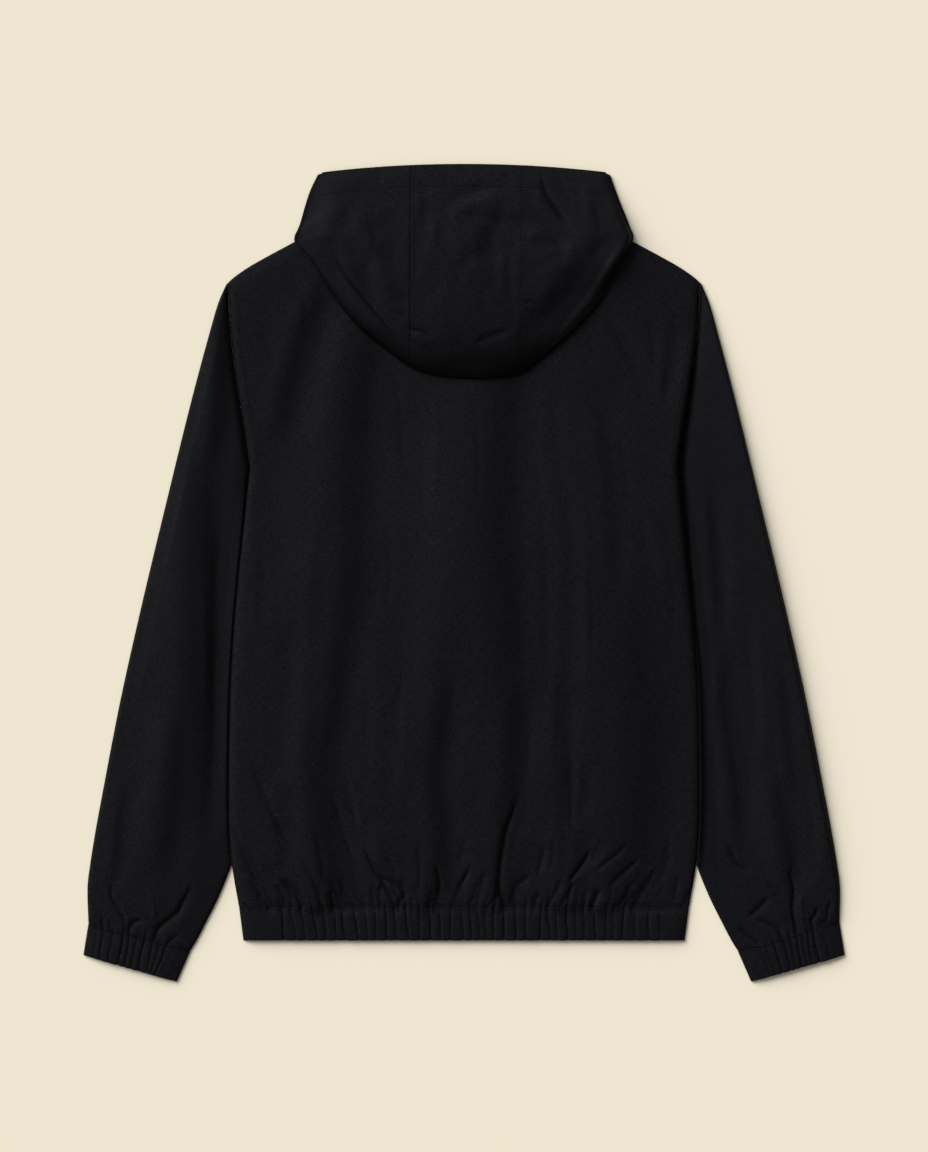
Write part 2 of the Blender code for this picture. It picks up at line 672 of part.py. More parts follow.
def hood_point(row, step):
    """A point of the hood: down its top layer, round its fold, and back under to the neck seam."""
    brim_x, fold_x, fold_y, sewn_x = hood_section(row)
    side = abs(2 * row / HOOD_LAST - 1)
    outward = hood_outward(row)
    brim_y = BRIM_TOP - BRIM_BOW * brim_x**2
    low_z = hood_under_z(fold_x, fold_y)
    radius = blend(ROLL, SIDE_ROLL, ease(side))
    reach = radius + LOW
    turn_x, turn_y = fold_x - outward[0] * reach, fold_y - outward[1] * reach
    if side == 1:
        brim_x, brim_y = turn_x, turn_y
    if step <= HOOD_TOP_ROWS:
        down = step / HOOD_TOP_ROWS
        x, y = blend(brim_x, turn_x, down), blend(brim_y, turn_y, down)
        waves = sum(fold_height(x, y, fold) for fold in HOOD_FOLDS)
        room = math.sin(math.pi * down) ** LIFT_SHAPE * (1 - side**HOOD_SIDE_FLAT)
        start = blend(BRIM_Z, LOW + 2 * SIDE_ROLL, side**HOOD_SIDE_FLAT)
        return x, y, blend(start, low_z + 2 * radius, ease(down)) + (HOOD_SWELL + waves) * room
    if step <= HOOD_TOP_ROWS + HOOD_TURN_ROWS:
        turn = math.pi * (step - HOOD_TOP_ROWS) / HOOD_TURN_ROWS
        out = radius * math.sin(turn)
        height = low_z + radius + radius * math.cos(turn)
        return turn_x + outward[0] * out, turn_y + outward[1] * out, height
    back = (step - HOOD_TOP_ROWS - HOOD_TURN_ROWS) / HOOD_UNDER_ROWS
    past_neck = HOOD_CORNER_OUT * (1 - ease(min(row, HOOD_LAST - row)))
    x = blend(turn_x, sewn_x, back)
    y = blend(turn_y, neck_y(sewn_x) + past_neck, back)
    return x, y, hood_under_z(x, y)


def hood_flap(side, across, step):
    """A point of the hood's front, flat on the surface between the brim and the front neck seam."""
    corner = hood_point(0 if side < 0 else HOOD_LAST, 0)
    brim_x = blend(abs(corner[0]), FRONT_EDGE, across)
    brim_y = blend(corner[1], FRONT_NECK + HOOD_FRONT_STAND, across**HOOD_FRONT_CURVE)
    sewn_x = blend(NECK_HALF, FRONT_EDGE, across)
    sewn_y = front_neck_y(sewn_x)
    if across == 0:
        sewn_x += HOOD_CORNER_IN
        sewn_y += HOOD_CORNER_OUT
    else:
        steep = (front_neck_y(sewn_x + 1) - front_neck_y(sewn_x - 1)) / 2
        sewn_x -= HOOD_SEAM * steep / math.hypot(1, steep)
        sewn_y += HOOD_SEAM / math.hypot(1, steep)
    bend_y = blend(NECK_TOP + HOOD_BEND, FRONT_NECK + HOOD_FRONT_STAND / 2, across)
    t = max(0, step - HOOD_TOP_ROWS - HOOD_TURN_ROWS) / HOOD_UNDER_ROWS
    x = brim_x * (1 - t) ** 2 + sewn_x * (1 - (1 - t) ** 2)
    y = brim_y * (1 - t) ** 2 + bend_y * 2 * t * (1 - t) + sewn_y * t**2
    return side * x, y, LOW


def make_hood_middle(finish):
    """The middle panel of the hood, from the brim over the crown and under to the back neck."""

    def place(u, v):
        x, y, z = hood_point(blend(HOOD_LEFT_SEAM, HOOD_RIGHT_SEAM, u), round(v * HOOD_ROWS))
        return x + HOOD_SEAM * (0.5 - u), y, z

    sheet("hood_middle", HOOD_MIDDLE_COLUMNS, HOOD_ROWS, place, finish)


def make_hood_side(name, side, seam_row, finish):
    """A side panel of the hood: from the seam round the side fold, and on under the neck to the front."""
    corner_row = 0 if side < 0 else HOOD_LAST
    columns = HOOD_POUCH_COLUMNS + NECK_COLUMNS

    def place(u, v):
        column = round(u * columns)
        step = round(v * HOOD_ROWS)
        if column >= HOOD_POUCH_COLUMNS:
            return hood_flap(side, (column - HOOD_POUCH_COLUMNS) / NECK_COLUMNS, step)
        out = column / HOOD_POUCH_COLUMNS
        x, y, z = hood_point(blend(seam_row, corner_row, out), step)
        return x + side * HOOD_SEAM / 2 * (1 - out), y, z

    sheet(name, columns, HOOD_ROWS, place, finish)


def make_zip(tape, metal):
    """The front zip, closed: two tapes inside the fronts' edges, the chain between them and its slider."""
    for name, side in (("zip_tape_left", -1), ("zip_tape_right", 1)):
        edges = sorted((side * TAPE_INNER, side * TAPE_OUTER))
        block(name, (edges[0], ZIP_BOTTOM, TAPE_Z[0]), (edges[1], ZIP_TOP, TAPE_Z[1]), tape)
    post_y = ZIP_TOP - POST_LENGTH
    chain_end = (CHAIN_HALF, post_y - SEAM, CHAIN_Z[1])
    block("zip_chain", (-CHAIN_HALF, ZIP_BOTTOM, CHAIN_Z[0]), chain_end, metal)
    low = post_y - SLIDER_LENGTH
    inner = CHAIN_Z[1] + SEAM
    inside_plate = SLIDER_PLATE / 2  # where the slider's pieces run into its plates
    slider = block("zip_slider", (-SLIDER_HALF, low, 0.0), (SLIDER_HALF, ZIP_TOP, SLIDER_PLATE), metal)
    parts = (
        ("slider_inner", (-SLIDER_HALF, low, inner), (SLIDER_HALF, ZIP_TOP, inner + SLIDER_PLATE)),
        ("slider_post", (-CHAIN_HALF, post_y, inside_plate), (CHAIN_HALF, ZIP_TOP, inner + inside_plate)),
        ("slider_tab", (-TAB_HALF, low - TAB_LENGTH, 0.0), (TAB_HALF, low + inside_plate, SLIDER_PLATE)),
    )
    for name, corner, far_corner in parts:
        joined = block(name, corner, far_corner, metal)
        joined.hide_render = True
        joined.display_type = "WIRE"
        union = slider.modifiers.new(name, "BOOLEAN")
        union.operation = "UNION"
        union.object = joined


for thing in list(bpy.data.objects):
    bpy.data.objects.remove(thing)
jacket = bpy.data.collections.new("windbreaker_jacket")
bpy.context.scene.collection.children.link(jacket)

cloth = material("cloth", CLOTH_COLOUR, 0.75)
tape_cloth = material("zip_tape", TAPE_COLOUR, 0.85)
zip_metal = material("zip_metal", METAL_COLOUR, 0.4, 1.0)

make_back(cloth)
make_front("front_left", -1, cloth)
make_front("front_right", 1, cloth)
make_sleeve("sleeve_left", -1, LEFT_SLEEVE_FOLDS, cloth)
make_sleeve("sleeve_right", 1, RIGHT_SLEEVE_FOLDS, cloth)
make_cuff("cuff_left", -1, cloth)
make_cuff("cuff_right", 1, cloth)
make_band(cloth)
make_hood_middle(cloth)
make_hood_side("hood_left", -1, HOOD_LEFT_SEAM, cloth)
make_hood_side("hood_right", 1, HOOD_RIGHT_SEAM, cloth)
make_zip(tape_cloth, zip_metal)
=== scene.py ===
import math

import bmesh
import bpy
import numpy as np
from mathutils import Matrix, Vector
from mathutils.bvhtree import BVHTree


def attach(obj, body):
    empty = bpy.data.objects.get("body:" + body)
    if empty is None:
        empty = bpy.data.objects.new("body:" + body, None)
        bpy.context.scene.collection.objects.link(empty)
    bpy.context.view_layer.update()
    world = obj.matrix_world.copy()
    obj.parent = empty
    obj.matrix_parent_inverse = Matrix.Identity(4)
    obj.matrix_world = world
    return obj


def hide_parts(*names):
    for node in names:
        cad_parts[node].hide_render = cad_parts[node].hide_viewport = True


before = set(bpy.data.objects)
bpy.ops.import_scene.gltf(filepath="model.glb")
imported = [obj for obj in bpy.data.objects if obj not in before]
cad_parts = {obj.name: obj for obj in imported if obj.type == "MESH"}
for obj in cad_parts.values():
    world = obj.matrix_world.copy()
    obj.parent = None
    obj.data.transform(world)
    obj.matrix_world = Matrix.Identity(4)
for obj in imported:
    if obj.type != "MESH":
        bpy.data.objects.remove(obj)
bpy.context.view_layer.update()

# --------------------------------------
# Back. One panel of near-black plain-weave polyester, from the neck and the shoulder seams to the hem band,
# cut wide and left slack, so that it lies in long soft folds. It lies on the two fronts and is sewn to them
# down its sides. Sizes are in millimetres: X runs across the jacket, Y towards the hood, Z up.
# --------------------------------------
MM = 0.001
CLOTH = 0.8  # the cloth with its turned edges
LOW = 0.45  # middle of a layer that rests on the surface
UPPER = 2.1  # middle of the layer above it
SEAMED = 1.35  # middle of that layer where it is sewn to the lower one
PLUMP = 2.3  # how far the upper layer lifts off the lower one
LIFT_SHAPE = 0.6
EDGE_ROUNDING = 4.0  # how far from its edges the back reaches that lift
BACK_ROUND = 6.5  # how much higher its middle lies
NECK_HALF = 95.0
NECK_TOP = 372.0
BACK_NECK = 353.0
SHOULDER_Y = 289.8
UNDERARM_Y = 104.8
BACK_HALF = 236.0
BAND_TOP = -333.2
ZIP_LIFT = 3.3  # middle of the back where it passes over the zip's tapes
SLIDER_LIFT = 4.3

# Half the width of the body down the armhole and the side seam: (y, half width)
BODY_EDGE = (
    (289.8, 236), (258, 234.3), (224, 231.5), (192, 227.3), (165, 223), (132, 218), (104.8, 215),
    (86, 216.8), (58, 219.5), (26, 222.9), (-8, 226.3), (-54, 230.4), (-118, 234), (-183, 235.4),
    (-232, 235.5), (-262, 234.5), (-294, 231.6), (-333.2, 225),
)

# Shoulder seam from the neck to the shoulder point: (half width, y)
SHOULDER_EDGE = (
    (95, 372), (132, 351.6), (170, 330.5), (196.5, 316.2), (215.6, 305.3), (229.3, 295.8), (236, 289.8),
)

# A crease follows its points (x, y). Across it the cloth is lifted by its lift, or sinks where that is under
# zero, over its widths to the left and to the right of the way that it runs. It also tilts by its tilt, and
# falls away to the right where that is under zero. It keeps its lift to its end where the last column is
# 1, and fades out otherwise. A tilt of 0 and a last column of 0 are left out at the end of a row.
BACK_CREASES = (  # points, left, right, lift, tilt, to its end
    (((-134, 306), (-150, 262), (-166, 216), (-178, 165), (-184, 115)), 19, 19, -0.3, -4.2),
    (((-112, 290), (-126, 240), (-140, 180), (-152, 96)), 12, 12, 0.2, 0.7),
    (((-78, 300), (-93, 232), (-103, 175), (-108, 120), (-110, 50), (-110, 0), (-118, -50),
      (-132, -130)), 31, 30, -0.4, -6),
    (((-116, -30), (-126, -100), (-132, -150), (-139, -200), (-138, -250), (-132, -300),
      (-131, -333)), 25, 28, -0.6, -6.2, 1),
    (((-66, 60), (-82, -30), (-96, -110), (-107, -170)), 10, 10, 0.2),
    (((-142, 84), (-147, 0), (-152, -80), (-156, -160), (-156, -270)), 13, 13, 0, -1.6),
    (((-100, -90), (-102, -160), (-104, -250)), 12, 12, 0, -0.9),
    (((85, 230), (85, 100), (84, 0), (86, -100), (86, -210)), 12, 12, 0, -1.5),
    (((98, -50), (97, -150), (98, -310)), 10, 10, 0, -0.9),
    (((-112, -215), (-106, -240), (-101, -274)), 5, 6, 0.5, 0.5),
    (((-30, 225), (-32, 160), (-34, 80), (-37, 0), (-46, -90), (-53, -170)), 32, 32, 0.3, 4.2),
    (((-19, -80), (-22, -150), (-28, -200), (-22, -260), (-26, -330)), 19, 17, -0.3, -4, 1),
    (((-58, -110), (-66, -170), (-66, -240)), 12, 12, 0.2, 1.2),
    (((44, 290), (43, 200), (41, 100), (39, 50), (42, 0), (45, -60), (49, -110), (48, -150),
      (45, -210)), 36, 33, -0.2, -6.9),
    (((52, -100), (52, -150), (49, -200), (46, -262), (42, -333)), 21, 17, -0.5, -3.9, 1),
    (((66, 170), (72, 60), (74, -60), (72, -190)), 12, 12, -0.2, -0.8),
    (((90, 156), (99, 60), (101, -40), (100, -150), (103, -262)), 11, 11, -0.3, -1.4),
    (((117, 100), (119, 0), (121, -90), (126, -170)), 10, 10, 0.2, 0.6),
    (((128, 200), (141, 120), (148, 40), (146, -40)), 14, 14, -0.2, -1.6),
    (((120, -190), (119, -220), (114, -250)), 7, 9, -0.6, -0.9),
    (((160, 0), (172, -80), (182, -150), (178, -230), (164, -333)), 44, 40, -0.3, -5.6, 1),
    (((134, 268), (152, 236), (178, 190)), 6, 8, -0.8, -1.4),
    (((208, 268), (205, 220), (198, 160)), 9, 9, -0.5, -1.6),
    (((176, 70), (190, 24), (198, -20)), 10, 10, 0.4, 1.2),
    (((-176, 150), (-172, 60), (-178, -60)), 34, 34, 0.1, 2.6),
    (((-172, -30), (-184, -110), (-190, -210)), 17, 17, -0.2, -0.9),
    (((-176, -200), (-182, -250), (-176, -300)), 15, 15, -0.2, -1.6),
    (((84, -240), (82, -290), (84, -333)), 12, 12, 0.2, 1.6, 1),
    (((112, -250), (116, -290), (112, -333)), 13, 13, -0.3, -2.4, 1),
    (((-96, -250), (-92, -300)), 12, 12, 0.2, 1.4),
    (((-70, 210), (-64, 150), (-62, 96)), 3, 4, -0.5),
    (((-30, 190), (-26, 130), (-30, 70)), 4, 4, 0.4),
    (((8, 180), (14, 120), (12, 60)), 3, 4, -0.4),
    (((-80, 60), (-74, 10), (-78, -50)), 4, 3, -0.4),
    (((74, 120), (80, 40), (82, -60), (84, -150)), 4, 5, -0.4),
    (((124, 20), (128, -50), (126, -120)), 3, 3, -0.5),
    (((94, -90), (94, -150), (90, -205)), 3, 3.6, -0.6),
    (((66, -130), (64, -180), (60, -220)), 3, 4, -0.5),
    (((-60, -80), (-66, -140), (-64, -200)), 3.6, 3, -0.4),
    (((-206, 60), (-200, 0), (-204, -70)), 4, 4, -0.4),
    (((-208, 250), (-196, 226), (-192, 196)), 3, 4, -0.6),
    (((-170, 290), (-160, 268), (-158, 240)), 3, 4, -0.5),
    (((112, 262), (124, 236), (130, 206)), 3, 3.6, -0.5),
    (((180, 262), (188, 232), (190, 200)), 3, 3.6, -0.6),
    (((152, 150), (162, 100), (164, 50)), 3.4, 4, -0.4),
    (((204, 20), (208, -30), (206, -84)), 3, 3, -0.4),
    (((-216, -188), (-206, -208), (-198, -228), (-187, -250), (-172, -276)), 2.4, 4.5, -1.3),
    (((-190, -244), (-182, -268), (-174, -296)), 6, 7, -0.6),
    (((-234, -244), (-224, -272), (-212, -298), (-198, -328)), 3.6, 2.6, -1.1, 0.5),
    (((-220, -270), (-206, -300), (-198, -319), (-191, -333)), 4, 2.4, -1.2, 0.5, 1),
    (((-206, -286), (-198, -306)), 3, 3, 0.4),
    (((-184, -303), (-174, -314), (-167, -324), (-162, -333)), 2.4, 3, -1.7, 0, 1),
    (((-164, -284), (-153, -303), (-146, -315), (-138, -327)), 3.4, 3.2, -1, 0.3),
    (((-150, -248), (-144, -282), (-139, -318)), 3.2, 4, -0.9),
    (((-134, -316), (-132, -326), (-131, -333)), 2.8, 2.8, -1.5, 0, 1),
    (((-133, -214), (-124, -246), (-117, -268), (-107, -296)), 3.8, 5, -1.1),
    (((-126, -216), (-118, -238)), 3, 3, 0.6),
    (((-120, -205), (-112, -236), (-107, -262)), 3, 4, -0.8),
    (((-119, -312), (-121, -322), (-124, -333)), 2.2, 3.2, -1.6, 0, 1),
    (((-114, -314), (-106, -327), (-101, -333)), 2.6, 2.6, -1.3, 0, 1),
    (((-101, -270), (-93, -291), (-86, -302), (-73, -309), (-63, -316), (-59, -330)), 2.4, 3, -2),
    (((-86, -300), (-79, -314), (-70, -328)), 2.6, 2.8, -1.3),
    (((-78, -282), (-70, -296), (-66, -304)), 3, 3, -0.6),
    (((-59, -318), (-62, -325), (-66, -333)), 2, 2.8, -1.4, 0, 1),
    (((-47, -262), (-44, -298), (-47, -326)), 3.4, 3.4, -0.8),
    (((-30, -286), (-25, -307), (-25, -319), (-28, -333)), 2.2, 3.2, -1.7, 0, 1),
    (((2, -262), (-2, -280), (-3, -294)), 3, 3.4, -0.7),
    (((7, -290), (1, -304), (-7, -319), (-14, -333)), 2.2, 3.6, -1.8, 0, 1),
    (((20, -296), (17, -314), (12, -333)), 3, 3.4, -1, 0, 1),
    (((56, -214), (48, -240), (42, -256), (38, -277), (35, -300), (35, -317),
      (40, -333)), 2.8, 5, -2.5, 0, 1),
    (((58, -250), (54, -280), (48, -312)), 7, 8, 0.8, 0.5),
    (((82, -268), (78, -284), (73, -304)), 2.6, 4, -1.1),
    (((66, -302), (59, -308), (52, -313)), 2.6, 3.6, -1.1),
    (((38, -318), (30, -326), (24, -333)), 2, 2.8, -1.1, 0, 1),
    (((50, -316), (49, -325), (50, -333)), 2.2, 2.6, -1.1, 0, 1),
    (((76, -318), (70, -333)), 2.2, 2.8, -1, 0, 1),
    (((105, -172), (106, -214), (106, -262)), 3, 4.5, -0.7, -0.5),
    (((90, -262), (88, -284), (84, -304)), 3, 3, -0.7),
    (((127, -274), (121, -286), (113, -297), (102, -312)), 2.2, 4.2, -2.2),
    (((140, -262), (130, -282), (125, -296)), 4, 6, -0.6, -0.4),
    (((112, -306), (106, -317), (96, -333)), 2.2, 3.6, -1.3, 0, 1),
    (((98, -304), (92, -318), (84, -333)), 2.4, 3.4, -1.1, 0, 1),
    (((136, -314), (132, -325), (127, -333)), 2.2, 3.2, -1.5, 0, 1),
    (((166, -268), (152, -282), (140, -291), (128, -300)), 2.6, 3.4, -1.2, 0.3),
    (((176, -284), (163, -296), (150, -308), (142, -318)), 2.8, 4, -1.4),
    (((192, -294), (184, -309), (177, -319), (170, -333)), 2.4, 4.4, -2, 0, 1),
    (((168, -316), (160, -326), (152, -333)), 3, 4, -0.9, 0, 1),
    (((205, -262), (201, -290), (192, -316)), 3.4, 4, -0.8),
    (((227, -314), (223, -324), (219, -333)), 2.2, 2.8, -1.2, 0, 1),
    (((215, -300), (211, -320), (206, -333)), 2.6, 3, -1, 0, 1),
)

# Pleats that the elastic draws into the band: where each is at the band's top and bottom, and how deep
BAND_PLEATS = (  # x at top, x at bottom, depth
    (-182.4, -180.4, 1), (-174, -167, 0.4), (-163, -158, 0.4), (-151.5, -145.7, 1), (-140.6, -137.4, 0.6),
    (-129.2, -127.3, 0.6), (-122.6, -119, 1), (-111, -104.6, 1), (-100, -94.5, 0.5), (-89, -88, 0.6),
    (-78, -77, 1), (-69, -67, 0.6), (-58.5, -54.6, 0.9), (-44, -44.5, 0.7), (-34.3, -33, 0.9),
    (-25.7, -22, 0.8), (-13.2, -14, 0.9), (-3.2, 0.2, 0.7), (5.8, 8, 0.8), (14, 17, 0.5), (21.5, 22, 0.4),
    (30, 30, 0.9), (40, 40.2, 1), (51.2, 52, 0.9), (62, 62, 0.6), (77.7, 75.4, 1), (83.5, 86.5, 0.8),
    (92, 94, 0.4), (102.7, 103.5, 0.9), (111.5, 113, 0.4), (120, 120.5, 0.6), (129.2, 132.4, 0.9),
    (142.6, 142, 0.6), (150, 149, 0.3), (160.5, 157.4, 0.9), (170.5, 171.5, 0.4), (184.3, 184.8, 0.8),
    (195.7, 196, 0.6),
)
PLEAT_HEIGHT = 1.25


def along(table, where):
    """Smooth reading of a table of (where, value) rows, with a cubic through each pair of rows."""
    rows = np.array(sorted(table), float)
    at, value = rows[:, 0], rows[:, 1]
    low, high = np.maximum(np.arange(len(at)) - 1, 0), np.minimum(np.arange(len(at)) + 1, len(at) - 1)
    slope = (value[high] - value[low]) / (at[high] - at[low])
    where = np.clip(where, at[0], at[-1])
    i = np.clip(np.searchsorted(at, where, side="right") - 1, 0, len(at) - 2)
    run = at[i + 1] - at[i]
    t = (where - at[i]) / run
    return (
        value[i] * (1 + 2 * t) * (1 - t) ** 2
        + slope[i] * run * t * (1 - t) ** 2
        + value[i + 1] * t * t * (3 - 2 * t)
        - slope[i + 1] * run * t * t * (1 - t)
    )


def blend(a, b, t):
    return a + (b - a) * t


def ease(t):
    """0 to 1 with soft ends."""
    t = np.clip(t, 0.0, 1.0)
    return t * t * (3 - 2 * t)


def soft_floor(height, least, softness=0.25):
    """height, but bent up softly where it would pass below least."""
    return least + softness * np.logaddexp(0.0, (height - least) / softness)


def body_half(y):
    return along(BODY_EDGE, y)


def neck_y(x):
    """Back neck seam, then the shoulder seam."""
    reach = np.abs(x)
    neck = BACK_NECK + (NECK_TOP - BACK_NECK) * (np.minimum(reach, NECK_HALF) / NECK_HALF) ** 2
    return np.where(reach < NECK_HALF, neck, along(SHOULDER_EDGE, reach))


def smooth_line(points, count=28):
    """count points along a smooth curve through a few points, and their distances along it."""
    points = np.array(points, float)
    knots = np.concatenate([[0], np.cumsum(np.hypot(*np.diff(points, axis=0).T))])
    at = np.linspace(0, knots[-1], count)
    line = np.stack([along(list(zip(knots, points[:, axis])), at) for axis in (0, 1)], 1)
    return line, at


def gathered_puckers(count, seed):
    """Small creases that run up from the hem band, uneven in place, length, slant and depth."""
    chance = np.random.default_rng(seed)
    rows = []
    for place in np.linspace(-205, 205, count):
        x, length = place + chance.uniform(-5, 5), chance.uniform(9, 34)
        lean = 0.45 * place / 205 + chance.uniform(-0.35, 0.35)
        bend = chance.uniform(-2.5, 2.5)
        points = [
            (x + lean * length, BAND_TOP + length),
            (x + 0.45 * lean * length + bend, BAND_TOP + 0.5 * length),
            (x, BAND_TOP),
        ]
        depth = chance.uniform(0.3, 1.1) * (1.4 if place < -20 else 0.9)
        rows.append((points, chance.uniform(1.8, 2.8), chance.uniform(2.2, 3.6), -depth, 0.0, 1))
    return tuple(rows)


PUCKERS = gathered_puckers(48, 17)


def creased(x, y, creases):
    """How far the creases lift the cloth at the points x, y, and the painted shade of narrow creases."""
    height, painted_shade = np.zeros_like(x), np.zeros_like(x)
    for points, left, right, lift, *ends in creases:
        tilt, full = (*ends, 0, 0)[:2]
        line, at = smooth_line(points)
        reach = 3 * max(left, right)
        near = (x > line[:, 0].min() - reach) & (x < line[:, 0].max() + reach)
        near &= (y > line[:, 1].min() - reach) & (y < line[:, 1].max() + reach)
        if not near.any():
            continue
        px, py = x[near][:, None], y[near][:, None]
        start, run = line[:-1], np.diff(line, axis=0)
        length = np.hypot(run[:, 0], run[:, 1])
        t = np.clip(((px - start[:, 0]) * run[:, 0] + (py - start[:, 1]) * run[:, 1]) / length**2, 0, 1)
        off_x, off_y = px - start[:, 0] - t * run[:, 0], py - start[:, 1] - t * run[:, 1]
        distance = np.hypot(off_x, off_y)
        pick = np.arange(len(distance)), distance.argmin(axis=1)
        side = np.sign(off_y * run[:, 0] - off_x * run[:, 1])[pick]
        share = (at[pick[1]] + t[pick] * length[pick[1]]) / at[-1]
        thin = 0.45 if max(left, right) < 7.5 else 0.2
        narrowing = 1 - thin + thin * np.sin(np.pi * np.clip(share, 0, 1 - 0.4 * full))
        q = distance[pick] / (np.where(side < 0, left, right) * narrowing)
        fade = ease(3.5 * share) * (1 if full else ease(3.5 * (1 - share)))
        height[near] += fade * (lift * np.exp(-(q**1.6)) + tilt * side * q * np.exp(-q * q))
        # Painted shade: narrow sinking creases are darkened along their middle line
        crease_shade = np.clip(-lift / 3.6, 0, 0.7) * (min(left, right) < 3.7)
        inner = distance[pick] / (0.62 * min(left, right) * narrowing)
        painted_shade[near] = np.maximum(painted_shade[near], crease_shade * fade * np.exp(-inner * inner))
    return height, painted_shade


def crumple(x, y, size, seed):
    """Soft random lumps between -1 and 1, about size millimetres across."""
    lattice = np.random.default_rng(seed).uniform(-1, 1, (128, 128))
    i, j = np.floor(x / size).astype(int), np.floor(y / size).astype(int)
    s, t = ease(x / size - i), ease(y / size - j)
    corners = [[lattice[(i + a) % 128, (j + b) % 128] for b in (0, 1)] for a in (0, 1)]
    return blend(blend(corners[0][0], corners[1][0], s), blend(corners[0][1], corners[1][1], s), t)


def pleated(across, down, pleats):
    """Height of gathered cloth, up to 1 on top of a pleat, and painted shade between its pleats."""
    top, bottom, depth = np.array(pleats, float).T
    across = across - down * np.interp(across, 0.5 * (top + bottom), bottom - top)
    across = across + np.sin(np.pi * down) * 0.9 * crumple(across + 700, 26 * down, 11, 21)
    i = np.clip(np.searchsorted(top, across, side="right") - 1, 0, len(top) - 2)
    span = top[i + 1] - top[i]
    t = np.clip((across - top[i]) / span, 0, 1)
    lean = 0.4 + 0.12 * np.sin(2.3 * i)
    bent = np.where(t < lean, 0.5 * t / lean, 0.5 + 0.5 * (t - lean) / (1 - lean))
    crest = (4 * bent * (1 - bent)) ** 0.7 * np.minimum(1.0, span / 11)
    inside = (across > top[0]) & (across < top[-1])
    height = np.where(inside, 0.55 + 0.45 * crest, 0.8)
    # Painted shade, darkest at the bottom of each fold between pleats
    painted_shade = np.zeros_like(height)
    for place, deep in zip(top, depth):
        height = height - 0.5 * deep * np.exp(-((np.abs(across - place) / 1.2) ** 1.5))
        painted_shade = np.maximum(painted_shade, 0.7 * deep * np.exp(-((across - place) ** 2) / 0.6))
    return height, painted_shade


def over_zip(x, y):
    """The least height of the layers above the fronts, which rises over the zip and its slider."""
    near = 1 - ease((np.abs(x) - 16) / 30)
    slider = ease((y - 245) / 40) * (1 - ease((np.abs(x) - 11) / 40))
    return blend(UPPER - 0.2, blend(ZIP_LIFT, SLIDER_LIFT, slider), near)


def back_form(x, y):
    """Middle of the back's cloth, and its painted shade in creases, at the band and beside its edges."""
    side = np.maximum(np.where(y < SHOULDER_Y, body_half(y) - np.abs(x), BACK_HALF), 0)
    share = np.clip((SHOULDER_Y - y) / (SHOULDER_Y - UNDERARM_Y), 0, 1)
    seam = np.where(y > UNDERARM_Y, blend(SEAMED, UPPER + 0.3, np.sin(np.pi * share) ** LIFT_SHAPE), SEAMED)
    inside = 1 - np.exp(-side / np.where(x > 0, 2.6, EDGE_ROUNDING))
    from_top = 1 - np.exp(-np.maximum(neck_y(x) - y, 0) / (2 * EDGE_ROUNDING))
    waves, painted_shade = creased(x, y, BACK_CREASES + PUCKERS)
    waves += 0.3 * crumple(x, y, 33, 5) + 0.16 * crumple(x, y, 13, 6) + 0.05 * crumple(1.6 * x, y, 6, 7)
    right_edge = np.where(x > 0, np.exp(-side / 26) * ease((250 - y) / 60) * ease((y + 120) / 130), 0)
    above = y - BAND_TOP
    rounded = np.cos(x / 160) * ease((190 - y) / 200) * (1 - np.exp(-above / 90))
    waves += 2.8 * right_edge + BACK_ROUND * rounded
    lean = 0.5 * np.clip(x / 140, -1, 1) * above * np.exp(-above / 30)
    gathers, pleat_shade = pleated(x - lean, 0.0, BAND_PLEATS)
    waves -= 1.5 * np.exp(-above / 8.0) * (1 - gathers)
    # Painted shade in the pleats just above the band
    painted_shade = np.maximum(painted_shade, 0.6 * pleat_shade * np.exp(-((above / 8.0) ** 2)))
    armhole = ease((y - UNDERARM_Y + 12) / 12) * (y < SHOULDER_Y)
    allowance = 0.3 * (1 - ease((side - 7.0) / 2.0)) * armhole * inside
    height = blend(seam, UPPER + PLUMP + waves, inside * from_top) + allowance
    # Painted shade beside the side edges and armholes, where the sleeves meet the body
    beside = np.exp(-((side / np.where(x > 0, 1.8, 0.8)) ** 2)) * (y < SHOULDER_Y)
    return soft_floor(height, blend(SEAMED - 0.2, over_zip(x, y), inside)), np.maximum(painted_shade, 0.8 * beside)


def back_z(x, y):
    return back_form(x, y)[0]


def in_scene(name, form, material):
    """The bmesh form as an object of the scene."""
    mesh = bpy.data.meshes.new(name)
    form.to_mesh(mesh)
    form.free()
    mesh.materials.append(material)
    made = bpy.data.objects.new(name, mesh)
    bpy.context.scene.collection.objects.link(made)
    return made


